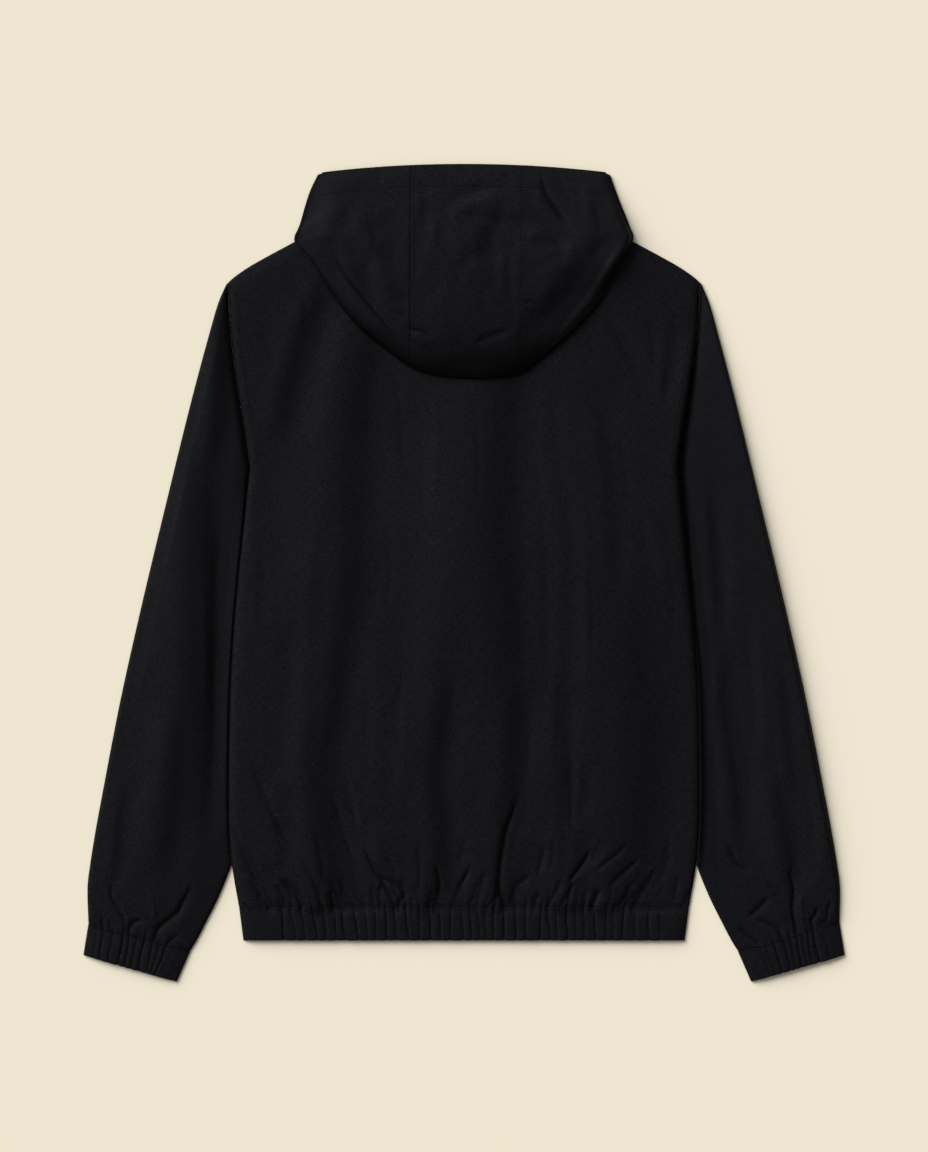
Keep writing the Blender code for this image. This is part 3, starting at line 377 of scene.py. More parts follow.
def shell(
    name, columns, rows, place, material, node,
    fine_from=None, thick=CLOTH,
):
    """One wall of cloth over a grid that place(u, v) shapes, standing for a node of the frame.

    place takes the shares across and down of every point, and gives x, y, z, the point's place on the flat
    cut and its painted shade: how much darker a point in a crease, a fold or beside an edge is painted,
    where less light reaches it. From the share fine_from down, the grid is twice as fine. The cloth gets its
    thickness, and its edges are rounded as turned cloth is."""
    form = bmesh.new()
    bmesh.ops.create_grid(form, x_segments=columns, y_segments=rows, size=1)
    if fine_from:
        top = 1.0001 - 2 * fine_from
        low = [edge for edge in form.edges if all(vertex.co.y < top for vertex in edge.verts)]
        bmesh.ops.subdivide_edges(form, edges=low, cuts=1, use_grid_fill=True)
    mesh = bpy.data.meshes.new(name)
    form.to_mesh(mesh)
    corners = np.empty(3 * len(mesh.vertices), np.float32)
    mesh.vertices.foreach_get("co", corners)
    grid = corners.reshape(-1, 3).astype(float)
    x, y, z, cut_x, cut_y, painted_shade = place((grid[:, 0] + 1) / 2, (1 - grid[:, 1]) / 2)
    mesh.vertices.foreach_set("co", (np.stack([x, y, z], 1) * MM).astype(np.float32).ravel())
    of_corner = np.empty(len(mesh.loops), np.int32)
    mesh.loops.foreach_get("vertex_index", of_corner)
    cut = mesh.uv_layers.new(name="cut")
    cut.data.foreach_set("uv", (np.stack([cut_x, cut_y], 1)[of_corner] * MM).astype(np.float32).ravel())
    # Painted shade of each point, which the cloth material darkens colour and shine by
    depth = mesh.attributes.new("painted_shade", "FLOAT", "POINT")
    depth.data.foreach_set("value", painted_shade.astype(np.float32))
    form.clear()
    form.from_mesh(mesh)
    bmesh.ops.remove_doubles(form, verts=form.verts, dist=0.001 * MM)
    bmesh.ops.dissolve_degenerate(form, edges=form.edges, dist=0.01 * MM)
    bpy.data.meshes.remove(mesh)
    made = in_scene(name, form, material)
    wall = made.modifiers.new("Wall", "SOLIDIFY")
    wall.thickness = thick * MM
    wall.offset = 0
    turned = made.modifiers.new("Turned edge", "BEVEL")
    turned.width = 0.3 * thick * MM
    turned.segments = 2
    turned.limit_method = "ANGLE"
    turned.angle_limit = math.radians(62)
    evaluated = made.evaluated_get(bpy.context.evaluated_depsgraph_get())
    thin, made.data = made.data, bpy.data.meshes.new_from_object(evaluated)
    made.modifiers.clear()
    bpy.data.meshes.remove(thin)
    made.data.name = name
    made.data.shade_smooth()
    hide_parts(node)
    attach(made, "root")
    return made


def feed(tree, node, inputs):
    """Link or set a node's input sockets, in order of (socket, value) pairs."""
    for socket, value in inputs:
        if isinstance(value, bpy.types.NodeSocket):
            tree.links.new(value, node.inputs[socket])
        else:
            node.inputs[socket].default_value = value


def add_node(tree, kind, inputs=(), out=0, **settings):
    """Output out, or a slice of them, of a new shader node with these settings and inputs."""
    made = tree.nodes.new("ShaderNode" + kind)
    for name, value in settings.items():
        setattr(made, name, value)
    feed(tree, made, inputs)
    return made.outputs[out]


def new_material(name):
    """A material, its node tree and its shader."""
    made = bpy.data.materials.new(name)
    made.use_nodes = True
    return made, made.node_tree, made.node_tree.nodes["Principled BSDF"]


def weave_group():
    """Plain weave on the cloth's flat cut, with thicker threads in places: shade, roughness and height."""
    tree = bpy.data.node_groups.new("plain weave", "ShaderNodeTree")
    for name, kind in (("Cut", "Vector"), ("Threads", "Float"), ("Uneven", "Float")):
        tree.interface.new_socket(name, in_out="INPUT", socket_type="NodeSocket" + kind)
    for name in ("Shade", "Roughness", "Height"):
        tree.interface.new_socket(name, in_out="OUTPUT", socket_type="NodeSocketFloat")
    given = tree.nodes.new("NodeGroupInput").outputs

    def math_node(operation, *values, clamp=False):
        return add_node(tree, "Math", enumerate(values), operation=operation, use_clamp=clamp)

    def noise(stretch, detail):
        place = add_node(tree, "VectorMath", [(0, given["Cut"]), (1, stretch)], operation="MULTIPLY")
        return add_node(tree, "TexNoise", [("Vector", place), ("Scale", 1.0), ("Detail", detail)])

    turns = math_node("MULTIPLY", given["Threads"], math.pi)
    turned = add_node(tree, "VectorMath", [(0, given["Cut"]), ("Scale", turns)], operation="SCALE")
    across, down = add_node(tree, "SeparateXYZ", [(0, turned)], slice(2))
    crossing = math_node("MULTIPLY", math_node("SINE", across), math_node("SINE", down))
    warp, weft = noise((900.0, 150.0, 1.0), 1.0), noise((150.0, 900.0, 1.0), 1.0)
    cloud = math_node("MULTIPLY", noise((420.0, 420.0, 1.0), 2.0), 0.8)
    threads = math_node("SUBTRACT", math_node("ADD", math_node("ADD", warp, weft), cloud), 1.4)
    slubs = math_node("MULTIPLY", threads, given["Uneven"])
    shade = math_node("ADD", slubs, 0.5)
    shade = math_node("ADD", shade, math_node("MULTIPLY", crossing, 0.08), clamp=True)
    roughness = math_node("ADD", math_node("MULTIPLY", slubs, -0.08), 0.72, clamp=True)
    thread_height = math_node("MULTIPLY", math_node("ABSOLUTE", crossing), 0.008 * MM)
    height = math_node("ADD", thread_height, math_node("MULTIPLY", slubs, 0.03 * MM))
    outputs = [("Shade", shade), ("Roughness", roughness), ("Height", height)]
    feed(tree, tree.nodes.new("NodeGroupOutput"), outputs)


def cloth_material(name, dark, light, threads, uneven, gloss=1.0):
    """Cloth whose threads run along its flat cut, its colour and shine darkened by the painted shade on its
    mesh.
    gloss is its share of the body cloth's shine.
    """
    made, tree, shader = new_material(name)
    weave = [("Cut", add_node(tree, "UVMap", uv_map="cut")), ("Threads", threads), ("Uneven", uneven)]
    group = bpy.data.node_groups["plain weave"]
    shade, roughness, height = add_node(tree, "Group", weave, slice(3), node_tree=group)
    # Painted shade: the mesh's shade attribute darkens colour and shine by up to 85 percent
    painted_shade = add_node(tree, "Attribute", out="Fac", attribute_name="painted_shade")
    lit = add_node(tree, "Math", [(0, painted_shade), (1, -0.85), (2, 1.0)], operation="MULTIPLY_ADD")
    colour = add_node(tree, "Mix", [(0, shade), (6, dark), (7, light)], 2, data_type="RGBA")
    colour = add_node(tree, "VectorMath", [(0, colour), ("Scale", lit)], operation="SCALE")
    shine = [(0, shade), (1, 0.10 * gloss), (2, 0.056 * gloss)]
    shine = add_node(tree, "Math", shine, operation="MULTIPLY_ADD")
    shine = add_node(tree, "Math", [(0, shine), (1, lit)], operation="MULTIPLY")
    bump = add_node(tree, "Bump", [("Height", height), ("Distance", 1.0), ("Strength", 1.0)])
    feed(tree, shader, [
        ("Base Color", colour), ("Roughness", roughness), ("Normal", bump), ("Specular IOR Level", shine),
        ("Specular Tint", (0.87, 0.88, 1.0, 1)), ("Sheen Weight", 0.01), ("Sheen Roughness", 0.4),
    ])
    return made


weave_group()
DARK, LIGHT = (0.0006, 0.0006, 0.0008, 1), (0.0040, 0.0041, 0.0048, 1)
body_cloth = cloth_material("windproof cloth", DARK, LIGHT, 2000.0, 0.75)
FINE_FROM_Y = -242.0  # below this the back is gathered into the band
BACK_ROWS, COARSE_ROWS = 182, 150


def place_back(u, v):
    fine = COARSE_ROWS / BACK_ROWS
    fine_y = (SHOULDER_Y - FINE_FROM_Y) / (SHOULDER_Y - BAND_TOP)
    down = np.where(v < fine, v * fine_y / fine, 1 - (1 - v) * (1 - fine_y) / (1 - fine))
    edge_y = blend(SHOULDER_Y, BAND_TOP, down)
    side = 2 * u - 1
    x = side * body_half(edge_y)
    y = blend(neck_y(side * BACK_HALF), BAND_TOP, down)
    z, painted_shade = back_form(x, y)
    return x, y, z, x + BACK_HALF, y - BAND_TOP, painted_shade


back = shell(
    "back_panel", 170, BACK_ROWS, place_back, body_cloth, "back", fine_from=COARSE_ROWS / BACK_ROWS,
)

# --------------------------------------
# Fronts. Two panels of the same cloth from the shoulder and side seams to the zip. They lie flat on the
# surface under the back, so they keep only shallow creases that lift off it.
# --------------------------------------
FRONT_NECK = 283.0
FRONT_NECK_CURVE = 2.2
FRONT_EDGE = 6.5
FRONT_STITCH_X = 11.0  # of the row that holds the zip
FRONT_CREASES = (
    (((60, 300), (96, 240), (140, 170)), 16, 16, 0.5),
    (((190, 120), (150, 40), (120, -60)), 18, 18, 0.45),
    (((90, 60), (84, -60), (88, -190)), 14, 14, 0.4),
    (((168, -40), (176, -160), (166, -260)), 15, 15, 0.5),
    (((48, -150), (54, -240), (50, -333)), 9, 9, 0.45, 0, 1),
    (((200, -230), (192, -290), (184, -333)), 8, 8, 0.5, 0, 1),
    (((120, -250), (112, -300), (116, -333)), 7, 7, 0.45, 0, 1),
    (((30, 210), (44, 120), (40, 20)), 12, 12, 0.35),
)


def front_neck_y(x):
    """Front neck seam, then the shoulder seam."""
    reach = np.minimum(np.abs(x), NECK_HALF) / NECK_HALF
    neck = FRONT_NECK + (NECK_TOP - FRONT_NECK) * reach**FRONT_NECK_CURVE
    return np.where(np.abs(x) < NECK_HALF, neck, along(SHOULDER_EDGE, np.abs(x)))


def make_front(name, side, node):
    def place(u, v):
        edge_y = blend(SHOULDER_Y, BAND_TOP, v)
        reach = blend(FRONT_EDGE, BACK_HALF, u)
        x = blend(FRONT_EDGE, body_half(edge_y), u)
        y = blend(front_neck_y(reach), BAND_TOP, v)
        hem = np.minimum(u, 1 - u) * 2
        rise = creased(x, y, FRONT_CREASES)[0] * ease(6 * hem)
        z = LOW + np.clip(rise, 0, 0.5) + 0.3 * np.exp(-(((x - FRONT_STITCH_X) / 2.0) ** 2))
        return side * x, y, z, x, y - BAND_TOP, np.zeros_like(x)

    return shell(
        name, 70, 130, place, body_cloth, node,
    )


front_left = make_front("front_left_panel", -1, "front_left")
front_right = make_front("front_right_panel", 1, "front_right")

# --------------------------------------
# Sleeves. Each is one piece of the same cloth sewn into a tube, set into the armhole and gathered into its
# cuff. It lies flattened, with its seam at the inner fold, and its top lies in a few long folds.
# --------------------------------------
# Its outer and its inner fold: (y, x)
SLEEVE_OUTER = (
    (289.8, 236.6), (271.8, 244.4), (249.8, 251), (172.8, 271.5), (72.8, 296), (-27.2, 320),
    (-127.2, 342.5), (-227.2, 362), (-262.2, 368.5), (-293.2, 373.5), (-314.2, 376), (-350, 375.4),
)
LEAVES_BODY_Y = -292.0  # above this its inner fold follows the body
SLEEVE_INNER = ((-292, 232.3), (-307, 238), (-327, 246.6), (-347, 256.6), (-367, 267), (-377.4, 273.4))
SLEEVE_LENGTH = 640
SLEEVE_END, CUFF_END = 105, 100  # how wide the ends of sleeve and cuff lie
CUFF_TOP_OUTER = (375.4, -350.0)
CUFF_TOP_INNER = (273.4, -377.4)
SEAM = 0.3
SLEEVE_SHIFT = {-1: 1.0, 1: -0.5}  # how far its outer fold lies past that line
SLEEVE_FULLNESS = 0.9
SLEEVE_DIP = 3.2  # how far a sleeve sinks where it meets the body
SLEEVE_ROUND = {-1: 2.4, 1: -1.2}  # how much higher its middle lies than a flat tube's
SLEEVE_TILT = {-1: 0.0, 1: 7.0}  # how much higher its outer part lies
# How far the painted shade of the body's edge reaches onto a sleeve, left and right: (y, distance)
SEAM_SHADE = {
    -1: ((290, 3.5), (240, 6), (120, 6), (70, 3), (20, 2), (-290, 2)),
    1: ((290, 2.5), (220, 3.5), (120, 6.5), (60, 5), (0, 3.4), (-60, 3.6), (-130, 6.5), (-290, 6.5)),
}
FOLD_RADIUS = 0.8  # of the fold of a flattened tube, to the middle of its cloth
TOP_SHARE, TURN_SHARE, UNDER_SHARE = 0.64, 0.08, 0.20  # of a tube's columns
LEFT_SLEEVE_CREASES = (
    (((-238, 286), (-242, 220), (-245, 150), (-248, 90)), 17, 17, -0.3, -4.6),
    (((-257, 180), (-260, 90), (-260, 10), (-258, -90), (-261, -190), (-270, -320)), 36, 25, -0.5, -7.8),
    (((-248, 60), (-252, -60), (-252, -180)), 8, 8, -0.4, -1.6),
    (((-286, -120), (-292, -220), (-300, -320)), 20, 18, -0.3, -4),
    (((-316, -190), (-324, -250), (-332, -310)), 12, 12, 0.2, 0.7),
    (((-340, -200), (-346, -260), (-352, -320)), 10, 10, -0.2, -1.6),
    (((-288, 150), (-302, 40), (-310, -60)), 10, 10, -0.2, -0.8),
    (((-353, -306), (-352, -325), (-347, -333), (-341, -343), (-336, -356)), 2, 3.2, -1.3),
    (((-343, -330), (-336, -342), (-333, -352)), 3, 2, 0.7),
    (((-319, -345), (-328, -348), (-334, -354), (-336, -364)), 2.6, 2.4, -1.8, 0, 1),
    (((-316, -318), (-310, -334), (-311, -350)), 3, 3, 0.8),
    (((-270, -308), (-281, -328), (-286, -338), (-296, -346), (-305, -354),
      (-311, -371)), 2, 4.8, -2, 0, 1),
    (((-314, -352), (-306, -355), (-300, -352)), 2.2, 2.2, -0.9),
    (((-284, -360), (-293, -366), (-297, -372)), 2, 3, -1.3, 0, 1),
    (((-361, -341), (-362, -350), (-361, -362)), 2, 2.4, -1.8, 0, 1),
    (((-354, -344), (-354, -352), (-352, -360)), 2, 2.4, -1.2, 0, 1),
    (((-367, -346), (-369, -353), (-370, -360)), 2, 2.4, -0.8, 0, 1),
    (((-322, -358), (-323, -366)), 2.2, 2.2, -1.2, 0, 1),
    (((-275, -330), (-284, -352), (-290, -366)), 7, 7, 0.4),
)
RIGHT_SLEEVE_CREASES = (
    (((242, 100), (250, 20), (256, -80)), 9, 9, -0.4, -1.8),
    (((262, 90), (266, 20), (270, -50)), 10, 10, 0.1, 0.8),
    (((260, -60), (262, -140), (271, -200), (278, -290)), 13, 13, -0.5, -3.4),
    (((288, -40), (294, -110), (299, -200)), 10, 10, 0.4, 1.6),
    (((312, -70), (322, -160), (332, -250)), 9, 9, -0.2, -1.6),
    (((306, -190), (321, -260), (329, -333)), 15, 15, -0.3, -3.8),
    (((346, -180), (352, -240), (358, -310)), 10, 10, 0.2, 1.4),
    (((264, -270), (270, -287), (278, -294), (289, -301)), 2.6, 3, -1.6),
    (((328, -288), (326, -303), (329, -314), (328, -336), (331, -352), (333, -364)), 2, 4.6, -2, 0, 1),
    (((336, -320), (337, -336), (338, -352)), 3, 3, 0.9),
    (((305, -322), (297, -332), (282, -345)), 2.4, 5, -1.7),
    (((288, -343), (301, -349), (314, -356), (318, -367)), 2, 3.2, -1.7, 0, 1),
    (((271, -353), (283, -361), (295, -370)), 2, 2.8, -1.6, 0, 1),
    (((353, -332), (351, -342), (347, -348), (349, -356)), 2, 3, -1.6, 0, 1),
    (((358, -346), (356, -355)), 3.4, 3, -1.2, 0, 1),
    (((368, -325), (364, -336), (362, -350)), 2, 2.6, -1.3, 0, 1),
    (((300, -310), (310, -315), (320, -318)), 2.2, 2.2, -0.9),
    (((306, -321), (313, -322), (320, -318)), 2, 2, -0.7),
    (((326, -356), (324, -366)), 2.2, 2.2, -1.4, 0, 1),
    (((303, -362), (304, -372)), 2.2, 2.2, -1, 0, 1),
    (((310, -330), (316, -342), (322, -350)), 5, 5, 0.5),
)

# Pleats of each cuff, in shares of its width from the inner edge at its top and its bottom, and how deep
LEFT_CUFF_PLEATS = (
    (0.23, 0.225, 1), (0.3, 0.27, 0.4), (0.372, 0.31, 0.8), (0.447, 0.415, 1), (0.52, 0.49, 0.5),
    (0.6, 0.557, 1), (0.655, 0.64, 1), (0.76, 0.745, 0.3), (0.862, 0.835, 0.8), (0.93, 0.915, 0.3),
)
RIGHT_CUFF_PLEATS = (
    (0.21, 0.2, 0.3), (0.27, 0.26, 0.4), (0.352, 0.334, 1), (0.45, 0.417, 1), (0.52, 0.474, 0.8),
    (0.58, 0.548, 1), (0.635, 0.607, 0.6), (0.69, 0.655, 0.8), (0.744, 0.738, 1), (0.86, 0.855, 0.2),
)

# How far the seam between sleeve and cuff bows off a straight line, at shares of its width
LEFT_CUFF_SEAM = (
    (0, 0), (0.12, -0.6), (0.27, -2.2), (0.37, -1), (0.46, -2.3), (0.6, -1.2), (0.8, -3.4), (0.93, -2.6),
    (1, 0),
)
RIGHT_CUFF_SEAM = (
    (0, 0), (0.12, -0.7), (0.27, -2.8), (0.37, -1.9), (0.46, -2.1), (0.58, -1.3), (0.66, 0.2),
    (0.85, 0.3), (1, 0),
)


def ring(u, low_end, high_end, top):
    """Points round a flattened tube, at the shares u of its columns: out along its top, round the fold, and
    back along its flat underside. Also how far round each is, and the painted shade of its top."""
    run_x, run_y = high_end[0] - low_end[0], high_end[1] - low_end[1]
    length = np.hypot(run_x, run_y)
    inset = (FOLD_RADIUS + CLOTH / 2) / length
    across = np.clip(u / TOP_SHARE, 0, 1)
    outer_turn = np.clip((u - TOP_SHARE) / TURN_SHARE, 0, 1)
    back = np.clip((u - TOP_SHARE - TURN_SHARE) / UNDER_SHARE, 0, 1)
    inner_turn = np.clip((u - TOP_SHARE - TURN_SHARE - UNDER_SHARE) / TURN_SHARE, 0, 1)
    on_top = u <= TOP_SHARE
    out = FOLD_RADIUS / length
    at = np.where(on_top, blend(inset, 1 - inset, across), blend(1 - inset, inset, back))
    at = at + np.where(on_top, 0, out * (np.sin(np.pi * outer_turn) - np.sin(np.pi * inner_turn)))
    x, y = low_end[0] + run_x * at, low_end[1] + run_y * at
    turned = FOLD_RADIUS * (np.cos(np.pi * outer_turn) - np.cos(np.pi * inner_turn) + 2)
    height, painted_shade = top(x, y, across)
    height = np.where(on_top, height, LOW + turned)
    round_it = np.where(on_top, at, 2 - at) * length
    return x, y, height, round_it, np.where(on_top, painted_shade, 0)


def sleeve_ends(down):
    """The inner and the outer fold of a sleeve, at shares of its length."""
    inner_y = blend(UNDERARM_Y, CUFF_TOP_INNER[1] + SEAM, down)
    outer_y = blend(SHOULDER_Y, CUFF_TOP_OUTER[1] + SEAM, down)
    beside = body_half(inner_y) + 0.15 + 0.25 * ease((-235 - inner_y) / 57)
    inner_x = np.where(inner_y > LEAVES_BODY_Y, beside, along(SLEEVE_INNER, inner_y))
    return (inner_x, inner_y), (along(SLEEVE_OUTER, outer_y), outer_y)


def armhole_bow(share):
    """How far the armhole seam bows out past the straight line from the underarm to the shoulder point."""
    y = blend(UNDERARM_Y, SHOULDER_Y, share)
    return body_half(y) - blend(body_half(UNDERARM_Y), body_half(SHOULDER_Y), share)


def in_mm(pleats, width):
    return [(top * width, bottom * width, depth) for top, bottom, depth in pleats]


def cuff_lift(across, down, gathers):
    """Height of a cuff's top over its underside."""
    rise = PLEAT_HEIGHT * (0.75 + 0.25 * np.sin(np.pi * down)) * gathers
    rise = rise * np.clip(10 * across * (1 - across), 0, 1)
    return 1.5 * np.sin(np.pi * np.clip(across, 0, 1)) ** 0.5 + rise


def make_sleeve(name, side, creases, pleats, seam_bow, node):
    def place(u, v):
        down = np.where(v < 0.66, v / 0.66 * 0.85, 1 - (1 - v) / 0.34 * 0.15)  # finer near the cuff
        inner, outer = sleeve_ends(down)
        outer = outer[0] + SLEEVE_SHIFT[side] * np.sin(np.pi * down) ** 0.5, outer[1]
        plump = PLUMP + SLEEVE_FULLNESS * np.sin(np.pi * down) ** LIFT_SHAPE
        from_cuff = (1 - down) * SLEEVE_LENGTH
        bow_left = 1 - ease(down / 0.12)

        def top(x, y, across):
            inside = np.clip(np.where((side > 0) & (across > 0.5), 36, 8) * across * (1 - across), 0, 1)
            share = np.clip((y - inner[1]) / (outer[1] - inner[1]), 0, 1)
            bowed = x + bow_left * armhole_bow(share)
            waves, painted_shade = creased(side * bowed, y, creases)
            waves += 0.3 * crumple(bowed + 900, y, 34, 8 + side) + 0.14 * crumple(bowed + 900, y, 13, 3)
            bulge = np.sin(np.pi * np.clip(across, 0, 1))
            lift = SLEEVE_ROUND[side] * bulge + SLEEVE_TILT[side] * (across**2 - 0.3)
            waves += lift * np.sin(np.pi * down) ** 0.5
            gathers, pleat_shade = pleated(across * SLEEVE_END, 0.0, in_mm(pleats, SLEEVE_END))
            waves -= 1.5 * np.exp(-from_cuff / 7) * (1 - gathers)
            # Painted shade in the folds of the gathers next to the cuff
            painted_shade = np.maximum(painted_shade, 0.8 * pleat_shade * np.exp(-((from_cuff / 6) ** 2)))
            from_seam = np.maximum(bowed - body_half(y), 0)
            beside = ease((y + 330) / 240) * blend(0.45, 1.0, ease((y - 20) / 110))
            waves -= SLEEVE_DIP * beside * np.exp(-from_seam / blend(4.0, 7.0, ease((y - 60) / 60)))
            edge = np.where(across > 0.5, 0.12 if side > 0 else 0.26, 0.36)
            height = plump * bulge**edge + inside * waves
            height = blend(cuff_lift(across, 0.0, gathers), height, 1 - np.exp(-from_cuff / 3.5))
            # Painted shade on the sleeve beside the body's edge, where the body would shade it
            painted_seam_shade = 0.95 * ease((y + 330) / 60) * np.exp(-((from_seam / along(SEAM_SHADE[side], y)) ** 4))
            return soft_floor(UPPER + height, UPPER - 0.3), np.maximum(painted_shade, painted_seam_shade) * (y < SHOULDER_Y)

        x, y, z, round_it, painted_shade = ring(u, inner, outer, top)
        share = np.clip((y - inner[1]) / (outer[1] - inner[1]), 0, 1)
        x = x + bow_left * armhole_bow(share)
        bow = along(seam_bow, np.clip(u / TOP_SHARE, 0, 1)) * np.exp(-from_cuff / 20)
        return side * x, y + np.where(u <= TOP_SHARE, bow, 0), z, round_it, down * SLEEVE_LENGTH, painted_shade

    return shell(
        name, 150, 205, place, body_cloth, node,
    )


sleeve_left = make_sleeve(
    "sleeve_left_tube", -1, LEFT_SLEEVE_CREASES, LEFT_CUFF_PLEATS, LEFT_CUFF_SEAM, "sleeve_left"
)
sleeve_right = make_sleeve(
    "sleeve_right_tube", 1, RIGHT_SLEEVE_CREASES, RIGHT_CUFF_PLEATS, RIGHT_CUFF_SEAM, "sleeve_right"
)

# --------------------------------------
# Cuffs. A doubled strip of the same cloth round a wide elastic, sewn to the end of each sleeve. The elastic
# draws it into pleats in its middle and leaves its two ends plain.
# --------------------------------------
CUFF_BOTTOM_OUTER = (380.5, -382.0)
CUFF_BOTTOM_INNER = (287.0, -408.6)
CUFF_CUT = 33  # depth of what shows of its cut


def make_cuff(name, side, pleats, seam_bow, node):
    def place(u, v):
        inner = [blend(a, b, v) for a, b in zip(CUFF_TOP_INNER, CUFF_BOTTOM_INNER)]
        outer = [blend(a, b, v) for a, b in zip(CUFF_TOP_OUTER, CUFF_BOTTOM_OUTER)]

        def top(x, y, across):
            gathers, painted_shade = pleated(across * CUFF_END, v, in_mm(pleats, CUFF_END))
            # Painted shade along the seam at the cuff's top
            painted_shade = np.maximum(painted_shade, 0.6 * np.exp(-((v / 0.035) ** 2)))
            return UPPER + cuff_lift(across, v, gathers), painted_shade

        x, y, z, round_it, painted_shade = ring(u, inner, outer, top)
        across = np.clip(u / TOP_SHARE, 0, 1)
        bow = along(seam_bow, across) * (1 - v) ** 2
        gathers, _ = pleated(across * CUFF_END, v, in_mm(pleats, CUFF_END))
        scallop = (0.9 * gathers - 0.2) * v**2 * np.clip(8 * across * (1 - across), 0, 1)
        return side * x, y + np.where(u <= TOP_SHARE, bow - scallop, 0), z, round_it, v * CUFF_CUT, painted_shade

    return shell(
        name, 230, 18, place, body_cloth, node,
    )


make_cuff("cuff_left_band", -1, LEFT_CUFF_PLEATS, LEFT_CUFF_SEAM, "cuff_left")
make_cuff("cuff_right_band", 1, RIGHT_CUFF_PLEATS, RIGHT_CUFF_SEAM, "cuff_right")

# --------------------------------------
# Hem band. A doubled strip of the same cloth round a wide elastic, from one side of the zip round the back
# to the other. It is gathered across the back and lies plain at its sides and on the fronts.
# --------------------------------------
BAND_BOTTOM = -367.4
BAND_HALF_BOTTOM = 220.6
BAND_CUT = 34


def place_band(u, v):
    half = blend(body_half(BAND_TOP), BAND_HALF_BOTTOM, v)
    flat = half - FOLD_RADIUS - CLOTH / 2
    y = blend(BAND_TOP - 0.15, BAND_BOTTOM, v)
    side = np.where(u < 0.5, -1, 1)
    from_zip = np.minimum(u, 1 - u)
    under_share, turn_share = 0.07, 0.01
    under = np.clip(from_zip / under_share, 0, 1)
    turn = np.clip((from_zip - under_share) / turn_share, 0, 1)
    across = np.clip((u - under_share - turn_share) / (1 - 2 * under_share - 2 * turn_share), 0, 1)
    on_top = turn >= 1
    x_low = side * (blend(FRONT_EDGE, flat, under) + FOLD_RADIUS * np.sin(np.pi * turn))
    x = np.where(on_top, blend(-flat, flat, across), x_low)
    gathers, painted_shade = pleated(x, v, BAND_PLEATS)
    # Painted shade along the band's top seam, and a fainter strip of it over its top few millimetres
    painted_seam_shade = (0.9 - 0.6 * gathers) * np.exp(-((v / 0.03) ** 2))
    painted_seam_shade = np.maximum(painted_seam_shade, 0.3 * np.exp(-((v / 0.14) ** 2)))
    painted_shade = np.where(on_top, np.maximum(painted_shade, painted_seam_shade), 0)
    inside = 1 - np.exp(-np.maximum(flat - np.abs(x), 0) / 4)
    pinch = 0.72 + 0.28 * np.sin(np.pi * v)
    z_top = UPPER + (1.3 + PLEAT_HEIGHT * pinch * gathers) * inside
    z_top = soft_floor(z_top, blend(UPPER - 0.1, over_zip(x, y), inside))
    z_top = blend(back_z(x, np.full_like(x, BAND_TOP)), z_top, ease(v / 0.3))
    z = np.where(on_top, z_top, LOW + FOLD_RADIUS * (1 - np.cos(np.pi * turn)))
    y = y - np.where(on_top, (0.8 * gathers - 0.6) * v**2 * inside, 0)
    return x, y, z, np.where(on_top, x + 450, side * x_low), (1 - v) * BAND_CUT, painted_shade


shell(
    "hem_band_strip", 860, 16, place_band, body_cloth, "hem_band",
)

# --------------------------------------
# Hood. Two side panels and a middle strip of the same cloth, sewn to the neck. It is turned back over the
# shoulders, so its inside edge lies up at the brim and its crown hangs in a rolled fold over the back.
# --------------------------------------
BRIM_TOP = 408.6
BRIM_BOW = 0.000415
HOOD_SECTIONS = (  # brim_x, fold_x, fold_y, neck_x
    (-145.4, -145.4, 399.6, -95), (-141, -155, 379, -92.5), (-136, -164, 349, -88.5),
    (-129, -169.5, 331, -84), (-116, -155.7, 311.8, -77), (-101, -133, 278, -69), (-84, -106, 246, -61),
    (-68, -80, 224, -54), (-52.5, -53.5, 205.3, -46), (-26, -28, 197.2, -24), (4, 2, 194.4, 1),
    (32, 32, 194.9, 25), (59.5, 58, 200, 47), (72, 78, 214.5, 54), (86, 103, 235.5, 61),
    (101, 133, 268, 69), (116, 151, 297.8, 77), (129, 168.7, 330.5, 84), (136, 165, 348, 88.5),
    (141, 154.3, 375, 92.5), (145.4, 145.4, 399.6, 95),
)
HOOD_LEFT_SEAM, HOOD_RIGHT_SEAM, HOOD_LAST = 8, 12, 20  # rows of that table
MIDDLE_CUT, SIDE_CUT = (116, 372), (250, 320)  # width and length on the cut
BRIM_Z = 4.6
CROWN = 18.2  # middle of the top layer before it rolls down to its fold
ROLL = 1.3  # radius of the fold
SHOULDER_Z = 7.5  # what it rises from inside that roll
# The roll and the soft fall towards it, and how far in from the fold its painted shade reaches,
# from left to right: (x, distance)
ROLL_DOWN = ((-170, 15), (-130, 13), (-90, 9), (0, 10), (70, 7), (140, 2.8), (170, 2.2))
BRIM_QUICK = ((-150, 0.75), (-60, 0.4), (0, 0.15), (60, 0.4), (150, 0.4))
ROLL_SOFT = ((-170, 43), (-60, 50), (-10, 30), (60, 34), (170, 34))
ROLL_SHADE = (
    (-170, 1.5), (-110, 6), (-60, 16), (-10, 28), (40, 27), (85, 8), (130, 4.5), (155, 2), (170, 0.6),
)
HOOD_TOP_SHARE, HOOD_TURN_SHARE = 0.66, 0.12  # of a panel's rows
HOOD_FRONT_STAND = 34.0
HOOD_FRONT_CURVE = 1.9
HOOD_CORNER_OUT, HOOD_CORNER_IN = 8.5, 0.7
HOOD_BEND = 12.0
BRIM_HEM = 22.0  # depth of the turned hem along the brim
